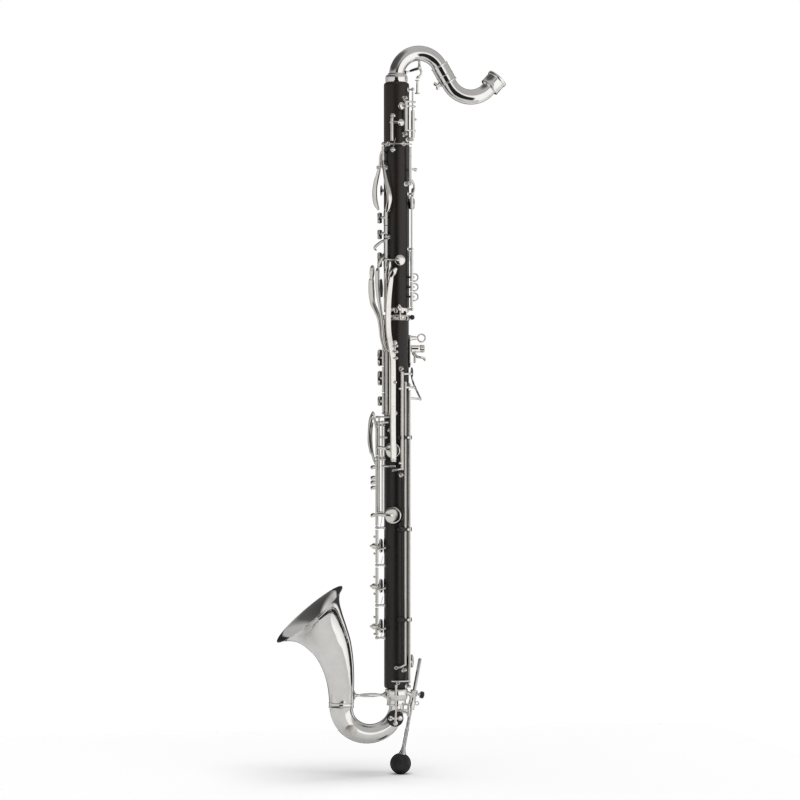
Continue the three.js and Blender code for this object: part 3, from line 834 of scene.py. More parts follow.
def plateau(metal: Shell, pads: Shell, degrees: float, distance: float, height: float, radius: float,
            thick: float = 6.5) -> None:
    """Adds a finger plateau: a thick pad in a shallow cup under a dished touch plate.

    Args:
        metal: the silver form.
        pads: the leather form.
        degrees: direction from the body's axis.
        distance: from the axis to the pad's near face.
        height: over the floor.
        radius: the plateau's radius.
        thick: pad and plate together.
    """
    way = outward(around(degrees, 1, 0))
    foot = around(degrees, distance, height)
    pad = thick * PLATEAU_PAD
    pads.turned([(0, 0), (radius * 0.8, 0), (radius * 0.93, pad * 0.2), (radius * 0.95, pad), (0, pad)], foot, way,
                36)
    metal.turned([(0, pad * 0.9), (radius * 0.97, pad * 0.9), (radius, pad * 0.98), (radius * 0.99, thick * 0.72),
                  (radius * 0.9, thick * 0.80), (radius * 0.93, thick * 0.88), (radius * 0.9, thick * 0.97),
                  (radius * 0.8, thick), (radius * 0.62, thick * 0.95), (0, thick * 0.88)], foot, way, 40)


def lever(form: Shell, points: Sequence[tuple[float, float, float]], wide: Sequence[float], deep: Sequence[float],
          steps: int = 32, square: float = 2.4, sides: int = 14, tilt: float = 0.0) -> None:
    """Sweeps a forged lever through (degrees, radius, height) places, its flat side tilted by some degrees."""
    form.swept([around(*p) for p in points], wide, deep, steps, sides, square, tilted(tilt))


def open_ring(form: Shell, centre: Vector, radius: float, wire: float, across: Vector, other: Vector) -> None:
    """Adds a ring of round wire in the plane of two directions.

    Args:
        form: the form to add to.
        centre: the ring's centre.
        radius: the ring's radius.
        wire: the wire's radius.
        across: a direction in the ring's plane.
        other: the direction square to it in that plane.
    """
    form.swept([centre + across * (radius * math.cos(a)) + other * (radius * math.sin(a))
                for a in (math.pi * k / 8 for k in range(16))], [wire], [wire], 48, 12, closed=True,
               up=lambda p: (p - centre))


def spring(form: Shell, start: tuple[float, float, float], end: tuple[float, float, float]) -> None:
    """Adds a thin needle spring."""
    form.wire([around(*start), around(*end)], SPRING_WIRE, 4, 6)


# ---- the wood -------------------------------------------------------------------------------
@dataclass
class WoodBody(Assembly):
    """The two blackwood joints, with a turned edge at each end and raised seats under the large pads."""

    bore: float = 11.7
    upper_foot: float = 655.0
    upper_top: float = 981.0
    lower_foot: float = 122.0
    lower_top: float = 652.0
    seats: tuple[tuple[float, float, float], ...] = (
        (-101, 789.5, 8.6), (-101, 762, 7.6), (-101, 730, 11.2), (-104, 591, 12.2), (-104, 562, 10.8),
        (-104, 529.5, 7.4), (-28, 460, 11.6), (-25, 368, 12.6), (-104, 324, 10.6), (-104, 267, 10.6),
        (-104, 210, 10.6))

    def tube(self, name: str, finish: Finish, node: str, radius: float, foot: float, top: float) -> None:
        """Turns one joint with its bore and softened edges.

        Args:
            name: the piece's name.
            finish: the wood.
            node: the frame's node.
            radius: the joint's outer radius.
            foot: height of the lower end.
            top: height of the upper end.
        """
        form = self.form(name, finish, ROOT, node)
        form.turned([(self.bore, foot), (radius - 3.2, foot), (radius - 1.0, foot + 0.7), (radius - 0.2, foot + 2.4),
                     (radius, foot + 4.5), (radius, (foot + top) / 2), (radius, top - 3.5), (radius - 0.3, top - 1.4),
                     (radius - 1.2, top - 0.3), (radius - 2.6, top), (self.bore, top)],
                    ORIGIN, UP, 72, True)

    def build(self) -> None:
        """Turns both joints."""
        self.tube("upper_joint_wood", WOOD_UPPER, "upper_joint", UPPER_RADIUS, self.upper_foot, self.upper_top)
        self.tube("lower_joint_wood", WOOD_LOWER_SHADED, "lower_joint", LOWER_RADIUS, self.lower_foot, self.lower_top)

    def dress(self) -> None:
        """Raises the pad seats and adds the corked tenon between the joints."""
        for degrees, height, radius in self.seats:
            upper = height > self.upper_foot
            form = self.forms["upper_joint_wood" if upper else "lower_joint_wood"][0]
            edge = UPPER_RADIUS if upper else LOWER_RADIUS
            rise = 0.9 if radius > 11 and degrees > -90 else 0.25
            form.turned([(0, 0), (radius + 1.8, 0), (radius + 1.2, 5), (radius + 0.2, 6 + rise),
                         (radius - 2, 6.1 + rise),
                         (0, 6.1 + rise)], around(degrees, edge - 6, height), outward(around(degrees, 1, 0)), 36)
        # The cork's dark colour is painted shade for the gap between the joints.
        cork = self.form("middle_tenon_cork", CORK)
        cork.turned([(self.bore, 640), (14.0, 640), (14.2, 641), (14.2, 654.6), (self.bore, 654.6)],
                    ORIGIN, UP, 48, True)


# ---- the neck -------------------------------------------------------------------------------
@dataclass
class Neck(Assembly):
    """The bent metal neck with its tuning sleeve, mouthpiece receiver, clamp screw and vent key."""

    tube: float = 10.7
    wall: float = 1.1
    bend: float = 33.0
    centre_height: float = 991.2
    fall: float = math.radians(60)
    sleeve: float = 12.2
    sleeve_length: float = 29.0
    mouth_bend: float = 34.6
    mouth_rise: float = math.radians(48.7)
    mouth_start: float = 31.4
    receiver: float = 14.2
    receiver_length: float = 19.0
    straight: float = 2.0

    def __post_init__(self) -> None:
        """Works out the places along the neck."""
        self.down = Vector((math.cos(self.fall), 0, -math.sin(self.fall)))
        self.crook_end = Vector((self.bend * (1 + math.sin(self.fall)), 0,
                                 self.centre_height + self.bend * math.cos(self.fall)))

    def crook_line(self) -> list[Vector]:
        """Gives the first bend's line from the collar to the tuning sleeve.

        Returns:
            Places along the bend.
        """
        line = [Vector((0, 0, z)) for z in (981.6, 986.0)]
        turn = math.pi / 2 + self.fall
        for i in range(41):
            angle = math.pi - turn * i / 40
            line.append(Vector((self.bend + self.bend * math.cos(angle), 0,
                                self.centre_height + self.bend * math.sin(angle))))
        line += [self.crook_end + self.down * d for d in (4, 8, 12)]
        return line

    def mouth_line(self) -> list[Vector]:
        """Gives the second bend's line from inside the sleeve to the receiver's rim.

        Returns:
            Places along the bend.
        """
        line = [self.crook_end + self.down * d for d in (14, 18, 23, 28)]
        start = self.crook_end + self.down * self.mouth_start
        side = Vector((math.sin(self.fall), 0, math.cos(self.fall)))
        centre = start + side * self.mouth_bend
        turn = self.fall + self.mouth_rise
        for i in range(33):
            angle = turn * i / 32
            line.append(centre - side * (self.mouth_bend * math.cos(angle))
                        + self.down * (self.mouth_bend * math.sin(angle)))
        rise = Vector((math.cos(self.mouth_rise), 0, math.sin(self.mouth_rise)))
        end = line[-1]
        length = self.straight + self.receiver_length + 1.5
        line += [end + rise * (length * k / 5) for k in range(1, 6)]
        return line

    @staticmethod
    def length(line: Sequence[Vector]) -> float:
        """Measures a line."""
        return sum((b - a).length for a, b in zip(line, line[1:]))

    def tube_profile(self, length: float, start: float = 0.0) -> list[tuple[float, float]]:
        """Gives the closed wall profile of a plain tube of this length.

        Args:
            length: the tube's length.
            start: where it starts along its line.

        Returns:
            (radius, distance) points.
        """
        steps = 44
        outer = [(self.tube, start + (length - start) * i / steps) for i in range(steps + 1)]
        inner = [(self.tube - self.wall, d) for _, d in reversed(outer)]
        return outer + inner

    def build(self) -> None:
        """Makes the collar, both bends, the sleeve and the receiver."""
        collar = self.form("neck_collar_ring", SILVER, ROOT, "neck_collar")
        collar.turned([(11.2, 981.3), (14.6, 981.3), (15.4, 982.2), (15.6, 984.0), (15.6, 989.0), (15.3, 990.8),
                       (14.4, 991.9), (13.0, 992.4), (11.2, 992.5)], ORIGIN, UP, 56, True)
        line = self.crook_line()
        length = self.length(line)
        crook = self.form("neck_crook_tube", SILVER, "neck", "neck_crook")
        crook.bent(line, self.tube_profile(length, 0.4), 56)
        crook.turned([(10.4, 992.8), (12.2, 992.9), (12.6, 993.5), (12.4, 994.3), (11.2, 994.9), (10.4, 995)],
                     ORIGIN, UP, 48, True)
        sleeve = self.form("tuning_sleeve_tube", SILVER, "mouth_section", "tuning_sleeve")
        r, bead, size = self.sleeve, self.sleeve + 0.6, self.sleeve_length
        sleeve.turned([(r - 1.2, 0.2), (bead - 0.3, 0.2), (bead, 0.8), (bead, 1.8), (bead - 0.3, 2.4), (r, 2.7),
                       (r, 15.5),
                       (bead - 0.2, 15.8), (bead - 0.1, 16.6), (r, 17.0), (r, size - 3.4), (bead - 0.3, size - 3.1),
                       (bead, size - 2.4), (bead, size - 1.2), (bead - 0.4, size - 0.6), (r - 1.2, size - 0.6)],
                      self.crook_end, self.down, 48, True)
        line = self.mouth_line()
        length = self.length(line)
        foot = length - self.receiver_length - 1.5
        r, wide = self.tube, self.receiver
        mouth = self.form("mouth_bend_tube", SILVER, "mouth_section", "neck_mouth_bend")
        steps = [(r, 0.2 + (foot - 1.2) * i / 36) for i in range(37)]
        rim = [(r + 0.6, foot - 0.6), (wide - 1.2, foot), (wide + 0.1, foot + 0.5), (wide + 0.5, foot + 1.4),
               (wide + 0.3, foot + 2.3), (wide, foot + 2.8), (wide, foot + 9), (wide, length - 5.2),
               (wide + 0.6, length - 4.8),
               (wide + 1.1, length - 3.6), (wide + 1.1, length - 1.6), (wide + 0.6, length - 0.4),
               (wide - 0.6, length - 0.05), (wide - 1.3, length - 0.3), (wide - 1.3, foot + 4), (r - 1.0, foot + 3)]
        mouth.bent(line, steps + rim + [(r - self.wall, d) for _, d in reversed(steps)], 56)

    def dress(self) -> None:
        """Adds the clamp screw and the vent key."""
        out = Vector((-math.sin(self.fall), 0, -math.cos(self.fall)))
        spot = self.crook_end + self.down * 24
        screw = self.form("neck_clamp_wings", KEY_SILVER, "neck_clamp_screw", "neck_clamp_screw")
        screw.turned([(0, 12.6), (3.1, 12.6), (3.1, 14.0), (1.7, 14.4), (1.7, 16.4), (2.4, 16.8), (2.4, 18.0),
                      (0, 18.6)],
                     spot, out, 20)
        for sign in (-1, 1):
            screw.swept([spot + out * 16.0, spot + out * 17.6 + self.down * (2.6 * sign),
                         spot + out * 19.0 + self.down * (4.8 * sign)],
                        [1.4, 2.6, 2.2], [0.9, 0.8, 0.8], 10, 12, up=steady(RIGHT))
        vent = self.form("neck_vent_metal", KEY_SILVER, "neck_vent_key", "neck_vent_key")
        black = self.form("neck_vent_sleeve", COMPOSITE, "neck_vent_key")
        pivot = Vector((33, 0, 1003))
        flat = steady(RIGHT)
        vent.bar(pivot + RIGHT * -5, pivot + RIGHT * 5, 1.6, 14)
        vent.swept([Vector((36, 0, 998)), Vector((34.5, 0, 1001)), pivot, Vector((25, 0, 1000.5)),
                    Vector((19, 0, 998.2)),
                    Vector((14.8, 0, 996.4))], [1.6, 1.8, 2.4, 1.7, 1.3, 1.6], [1.3, 1.5, 2.0, 1.3, 1.0, 1.2], 26,
                   12, up=flat)
        black.swept([Vector((30, 0, 1002)), Vector((25, 0, 1000.5)), Vector((20, 0, 998.6))], [2.0, 1.9, 1.6],
                    [1.9, 1.8, 1.6], 12, 12, up=flat)
        vent.swept([Vector((35.6, 0, 998.4)), Vector((35.2, 0, 994)), Vector((33, 0, 991.4)), Vector((31, 0, 990))],
                   [1.1, 1.2, 1.6, 2.4], [1.0, 1.0, 1.2, 1.3], 16, 12, up=flat)
        vent.turned([(0, 988.4), (2.6, 988.4), (3.0, 988.9), (3.0, 990.0), (2.4, 990.6), (0, 990.8)],
                    Vector((31.2, 0, 0)), UP, 20)
        pad = Vector((12.4, 0, 996.5))
        vent.turned([(0, 0.8), (3.0, 0.8), (3.1, 1.4), (2.4, 2.6), (0, 2.9)], pad, BACK, 20)
        leather = self.form("neck_vent_pad", LEATHER, "neck_vent_key")
        leather.turned([(0, -0.2), (2.7, -0.2), (2.8, 0.9), (0, 0.9)], pad, BACK, 20)
        post = self.form("neck_vent_post", KEY_SILVER, "neck")
        for sign in (-1, 1):
            side = RIGHT * (3.4 * sign)
            post.turned([(0, 0), (1.9, 0), (1.5, 1.2), (1.1, 3), (1.2, 8), (1.7, 9.6), (1.7, 12), (0, 12.4)],
                        Vector((33, 0, 1015)) + side, Vector((0, 0, -1)), 14)


# ---- the upper joint's keys -----------------------------------------------------------------
@dataclass
class UpperKeys(Assembly):
    """Register, throat, finger and side keys of the upper joint."""

    tall_plateaus: tuple[tuple[str, float, float, float, float], ...] = (
        ("finger_plateau_1", 778, 797.5, 789.5, 8), ("finger_plateau_2", 765.4, 777.4, 766, 7),
        ("finger_plateau_3", 716.4, 731, 730, 11))
    side_rings: tuple[tuple[str, float, float, float], ...] = (
        ("side_key_1", 699, 741.5, 705), ("side_key_2", 685, 698, 691.2), ("side_key_3", 663, 684, 677.4))

    def build(self) -> None:
        """Makes the keys."""
        self.register_keys()
        self.throat_keys()
        self.front_keys()
        self.back_keys()

    def register_keys(self) -> None:
        """Makes the two register cups, their lever and the link to the neck."""
        R = KEY_RADIUS
        upper, pads = self.silver("upper_register_key"), self.leather("upper_register_key")
        hinge(upper, 24, 911, 954)
        pad_cup(upper, pads, 9.5, 18.3, 947, 5.4, 4.2)
        lever(upper, [(34, R + 1, 947), (24, R + 1, 947), (12, R - 0.6, 947)], [1.4, 2.2, 1.7], [1.1, 1.3, 0.9], 12)
        for height in (953.2, 946.8, 912.5):
            lever(upper, [(20, R, height), (40, R + 1.2, height), (62, 27.4, height)], [1.5, 1.2, 1.5],
                  [1.2, 1.0, 1.2], 14)
        upper.bar(around(54, 25.4, 941), around(54, 25.4, 968), 1.2, 12)
        upper.bar(around(54, 25.4, 903), around(54, 25.4, 941), 2.7, 18)
        upper.turned([(0, -1.6), (1.4, -1.6), (1.4, -0.9), (2.5, -0.8), (2.5, 0.8), (1.4, 0.9), (1.4, 1.6), (0, 1.6)],
                     around(66, 27.6, 929), UP, 20)
        lower, pads = self.silver("lower_register_key"), self.leather("lower_register_key")
        hinge(lower, -26.5, 897, 929.5)
        pad_cup(lower, pads, 8, 18.3, 923.5, 5.2, 3.9)
        lever(lower, [(-32, R, 923.5), (-22, R + 0.6, 923.5), (-6, R + 0.6, 923.5), (8, R - 0.6, 923.5)],
              [1.3, 1.7, 1.5, 2.2], [1.2, 1.2, 1.0, 0.9], 16)
        link = self.form("register_link_rod", KEY_SILVER, "register_link", "register_link")
        link.bar(Vector((30, 0, 966.3)), Vector((30, 0, 986.2)), 1.5, 12)
        link.turned([(0, 966.3), (3.2, 966.3), (3.5, 966.8), (3.3, 967.9), (0, 968.1)], Vector((30, 0, 0)), UP, 18)
        link.turned([(0, 984.6), (2.8, 984.7), (3.0, 985.4), (2.6, 986.2), (0, 986.4)], Vector((30, 0, 0)), UP, 18)
        main = self.silver("register_lever")
        hinge(main, 44, 840.5, 889.5)
        lever(main, [(44, R, 858), (60, 25.6, 858), (76, 27, 858)], [1.8, 1.4, 1.5], [1.4, 1.1, 1.2], 14)
        main.ball(around(78, 27, 858), 2.6, 16)
        lever(main, [(44, R, 844), (64, 25, 838), (82, 25, 831), (92, 24.2, 826)], [1.9, 1.9, 2.4, 5.2],
              [1.4, 1.2, 1.3, 1.3], 20)
        way = outward(around(92, 1, 0))
        main.turned([(0, 0), (5.6, 0), (6.5, 0.7), (6.4, 1.6), (4.8, 2.0), (0, 1.7)], around(92, 22.5, 826), way, 30)

    def throat_keys(self) -> None:
        """Makes the two long spoon levers above the finger keys."""
        a_key = self.silver("throat_a_key")
        hinge(a_key, -64, 878.5, 890)
        lever(a_key, [(-64, KEY_RADIUS, 884), (-72, 25.6, 877), (-76, 26, 863), (-83, 27.6, 851), (-90, 30.2, 838),
                      (-93, 31.4, 824), (-90, 30.2, 811), (-82, 27.2, 801)],
              [2.0, 1.9, 1.9, 2.8, 3.8, 4.4, 4.0, 1.8], [1.4, 1.3, 1.3, 1.4, 1.5, 1.6, 1.5, 1.1], 56, tilt=42)
        g_key = self.silver("throat_gsharp_key")
        hinge(g_key, -64, 864.5, 877.5)
        lever(g_key, [(-64, KEY_RADIUS, 871), (-59, 25.8, 865), (-52, 26.6, 855), (-44, 27.4, 841), (-35, 27.8, 826),
                      (-32, 27.8, 815), (-37, 27.4, 804), (-43, 26.6, 797)],
              [1.8, 1.9, 2.2, 2.8, 3.5, 3.8, 3.3, 1.8], [1.4, 1.3, 1.3, 1.4, 1.5, 1.5, 1.4, 1.0], 48, tilt=42)
        for node in ("throat_a_key", "throat_gsharp_key"):
            self.leather(node).bar(around(-64, 19.2, 882 if node == "throat_a_key" else 869),
                                   around(-64, 21.6, 882 if node == "throat_a_key" else 869), 1.8, 12)

    def front_keys(self) -> None:
        """Makes the finger plateaus and the fork key."""
        R = KEY_RADIUS
        for node, low, high, height, radius in self.tall_plateaus:
            metal, pads = self.silver(node), self.leather(node)
            hinge(metal, -49, low, high)
            plateau(metal, pads, -101, 20.6, height, radius)
            lift = min(max(height, low + 1.8), high - 1.8)
            lever(metal, [(-49, R, lift), (-66, R + 0.6, lift), (-84, R - 0.8, height), (-95, R - 1.6, height)],
                  [2.0, 1.7, 1.9, 2.8], [1.3, 1.1, 1.0, 0.9], 16)
        fork, pads = self.silver("fork_key"), self.leather("fork_key")
        hinge(fork, -49, 732, 758.6)
        pad_cup(fork, pads, 2.5, 18.4, 728.8, 7.7, 4.6)
        lever(fork, [(-49, R, 731), (-34, R + 1.0, 729.4), (-14, R + 0.6, 728.8), (0, R - 0.6, 728.8)],
              [1.8, 1.3, 1.2, 1.5], [1.4, 1.2, 1.0, 0.8], 22)
        lever(fork, [(-49, R + 0.6, 738), (-60, 27, 733), (-70, 29, 723), (-76, 29, 717)], [2.2, 3.4, 3.2, 1.4],
              [1.2, 1.3, 1.3, 1.0], 20)
        lever(fork, [(-49, R, 757), (-62, 27, 755), (-78, 30.4, 750), (-88, 32, 746), (-90, 29.6, 743.6)],
              [2.0, 2.0, 2.4, 3.2, 2.6], [1.4, 1.3, 1.3, 1.4, 1.1], 26)

    def back_keys(self) -> None:
        """Makes the thumb plateau and the three side rings."""
        R = KEY_RADIUS
        thumb, pads = self.silver("thumb_plateau"), self.leather("thumb_plateau")
        hinge(thumb, 54, 802, 819.5)
        plateau(thumb, pads, 92, 18.8, 810, 8.4, 6.6)
        lever(thumb, [(54, R, 810), (70, R + 0.4, 810), (86, R - 1.4, 810)], [2.2, 1.8, 2.4], [1.3, 1.0, 0.9], 14)
        for node, low, high, height in self.side_rings:
            key = self.silver(node)
            hinge(key, 54, low, high)
            lever(key, [(54, R, height), (66, 25.2, height), (72, 22.9, height)], [1.9, 1.5, 1.4], [1.3, 1.2, 1.2],
                  12)
            centre = around(78, 25.6, height)
            open_ring(key, centre, 5.2, 1.05, BACK, UP)
            self.form(f"{node}_felt", LEATHER, node).bar(around(54, 19.0, height), around(54, 21.4, height), 1.6, 12)

    def dress(self) -> None:
        """Adds the pillars, the cross rod with its eyes and the springs."""
        frame = self.frame("register_frame")
        for degrees, height in ((44, 900), (44, 837), (24, 958), (24, 907), (-26.5, 933), (-26.5, 885), (34, 837)):
            pillar(frame, degrees, height)
        pillar(frame, 54, 971, 25.4)
        pillar(frame, 50, 899.5, 25.4)
        left, right = around(-52, 25.2, 893), around(48, 25.2, 893)
        frame.swept([left, around(-30, 25.8, 893), around(0, 26.2, 893), around(28, 25.8, 893), right], [0.9], [0.9],
                    30, 10)
        for degrees in (-38, 12):
            open_ring(frame, around(degrees, 25.9, 893), 2.3, 0.9, BACK, UP)
        frame = self.frame("throat_frame")
        for height in (893.5, 860.5):
            pillar(frame, -64, height)
        frame.bar(around(-64, KEY_RADIUS, 860.5), around(-80, 27.2, 860.5), 1.2, 12)
        frame.turned([(0, 0), (2.5, 0), (2.7, 0.5), (2.7, 2.8), (2.3, 3.4), (0, 3.4)], around(-80, 26.4, 860.5),
                     outward(around(-80, 1, 0)), 24)
        frame.turned([(2.1, -0.7), (4.4, -0.6), (4.6, 0), (4.4, 0.6), (2.1, 0.7)], around(-64, KEY_RADIUS, 862.8),
                     UP, 24, True)
        frame.turned([(0, 0), (5.6, 0), (7.6, 1.2), (7.4, 2.2), (5, 2.6), (0, 2.2)], around(-96, 20.4, 828.5),
                     outward(around(-96, 1, 0)), 32)
        frame.bar(around(-96, 16.5, 828.5), around(-96, 21, 828.5), 2.2, 14)
        frame = self.frame("upper_front_frame")
        for height in (800.5, 762, 713):
            pillar(frame, -49, height)
        frame.bar(around(-52, KEY_RADIUS, 658), around(-52, KEY_RADIUS, 711), 1.9, 14)
        frame.bar(around(-52, 17.4, 660), around(-52, KEY_RADIUS, 660), 1.5, 12)
        frame = self.frame("upper_back_frame")
        for height in (823, 745, 659.5):
            pillar(frame, 54, height)
        frame.bar(around(54, KEY_RADIUS, 741), around(54, KEY_RADIUS, 803), 1.2, 10)
        steel = self.form("upper_springs", STEEL)
        for start, end in (((24, 20.5, 907), (34, 19.6, 925)), ((-26.5, 20.5, 885), (-15, 19.6, 902)),
                           ((44, 20.5, 837), (56, 19.6, 856)), ((-49, 20.5, 762), (-60, 19.8, 778)),
                           ((-49, 20.5, 713), (-62, 19.8, 728)), ((54, 20.5, 745), (64, 19.6, 728)),
                           ((54, 20.5, 823), (68, 19.6, 812))):
            spring(steel, start, end)


# ---- the left little finger's levers --------------------------------------------------------
@dataclass
class LeftLevers(Assembly):
    """The left hand's levers, the lower joint's finger plateaus and the long flat bar."""

    plateaus: tuple[tuple[str, float, float, float, float], ...] = (
        ("finger_plateau_4", 579, 608.5, 591, 12), ("finger_plateau_5", 542, 578, 562, 10.5),
        ("finger_plateau_6", 515.5, 541, 529.5, 7))

    def build(self) -> None:
        """Makes the plateaus, both levers and the bar."""
        R = KEY_RADIUS
        for node, low, high, height, radius in self.plateaus:
            metal, pads = self.silver(node), self.leather(node)
            hinge(metal, -62, low, high)
            plateau(metal, pads, -104, 20.1, height, radius)
            lever(metal, [(-62, R, height), (-76, R + 0.4, height), (-90, R - 0.6, height), (-99, R - 1.2, height)],
                  [2.4, 1.9, 2.1, 3.2], [1.4, 1.2, 1.0, 0.9], 16)
        first = self.silver("left_lever_1")
        hinge(first, -46, 513, 611)
        lever(first, [(-46, R, 598), (-52, 27.6, 606), (-58, 29.5, 618), (-60, 30.5, 632), (-64, 31.2, 646),
                      (-73, 33, 658),
                      (-82, 35.5, 668), (-86, 36.6, 684), (-85, 37, 698), (-84, 36.6, 703.6), (-83, 36.4, 711),
                      (-83, 36, 718), (-83, 35.6, 721)],
              [1.8, 1.8, 1.9, 2.1, 2.6, 3.3, 4.0, 4.8, 4.4, 3.0, 3.8, 3.4, 1.8],
              [1.4, 1.4, 1.4, 1.5, 1.5, 1.6, 1.8, 2.1, 2.0, 1.6, 2.0, 1.8, 1.2], 84, tilt=46)
        second = self.silver("left_lever_2")
        hinge(second, -32, 513, 611)
        lever(second, [(-32, R, 598), (-40, 27.0, 604), (-47, 29, 612), (-49, 30.5, 630), (-51.5, 31.5, 646),
                       (-57, 32.5, 664), (-62, 33.2, 682), (-64, 33.5, 700), (-64, 33.4, 712), (-64, 33, 717)],
              [1.8, 1.8, 1.8, 1.9, 2.1, 2.6, 3.2, 3.5, 3.3, 2.0], [1.4, 1.4, 1.4, 1.4, 1.5, 1.6, 1.8, 1.9, 1.8, 1.3],
              70, tilt=34)
        bar = self.silver("long_bar_key")
        hinge(bar, -18, 513, 611, tube=1.9)
        lever(bar, [(-38, 28.0, 698), (-37, 28.8, 710), (-33, 29.2, 719), (-30, 28.6, 726)], [2.2, 3.2, 3.4, 1.8],
              [1.2, 1.6, 1.8, 1.2], 24, tilt=34)
        lever(bar, [(-31, 28.4, 700), (-26, 29, 706), (-19, 29.6, 711.5), (-12, 29, 716.5)], [2.4, 3.7, 4.2, 2.2],
              [1.2, 1.6, 1.9, 1.3], 26, tilt=30)
        bar.swept([around(*p) for p in (
            (-19, 28.4, 446.5), (-20, 28.5, 452), (-21, 28.6, 500), (-21, 28.6, 572), (-22.5, 28.6, 590),
            (-28, 28.6, 608), (-34, 28.8, 628), (-35, 29, 650), (-33, 29, 674), (-28, 28.8, 695), (-24, 28.2, 708))],
            [4.2, 3.9, 4.0, 4.0, 4.0, 3.9, 3.9, 3.9, 3.8, 3.4, 2.2], [1.1], 96, 20, 6.0, tilted(24, 18, 590, 625))
        for height in (522, 566, 600):
            lever(bar, [(-18, R, height), (-19, 26, height), (-20, 28, height)], [1.6, 1.5, 1.8], [1.6, 1.4, 1.6], 8)

    def dress(self) -> None:
        """Adds the pillars, roller pins and springs."""
        frame = self.frame("lower_left_frame")
        for degrees in (-62, -46, -32, -18):
            for height in (512.5, 612):
                pillar(frame, degrees, height, ball=2.3)
        bar = self.silver("long_bar_key")
        for degrees, height in ((-10.5, 607.3), (-10.5, 599), (-11, 590.2), (-14, 556)):
            bar.ball(around(degrees, 29.0, height), 2.4, 16)
            bar.bar(around(-22, 28.8, height), around(degrees, 29.0, height), 1.0, 10)
        window = self.form("left_lever_inlay", COMPOSITE, "left_lever_2")
        lever(window, [(-52, 32.0, 677), (-52, 32.4, 689), (-53, 32.4, 701)], [1.6, 2.4, 1.6], [0.9, 1.1, 0.9], 20,
              tilt=30)
        steel = self.form("left_springs", STEEL)
        for degrees, low, high in ((-62, 512, 534), (-46, 512, 540), (-32, 612, 584), (-18, 512, 545)):
            spring(steel, (degrees, 20.6, low), (degrees - 8, 19.5, high))


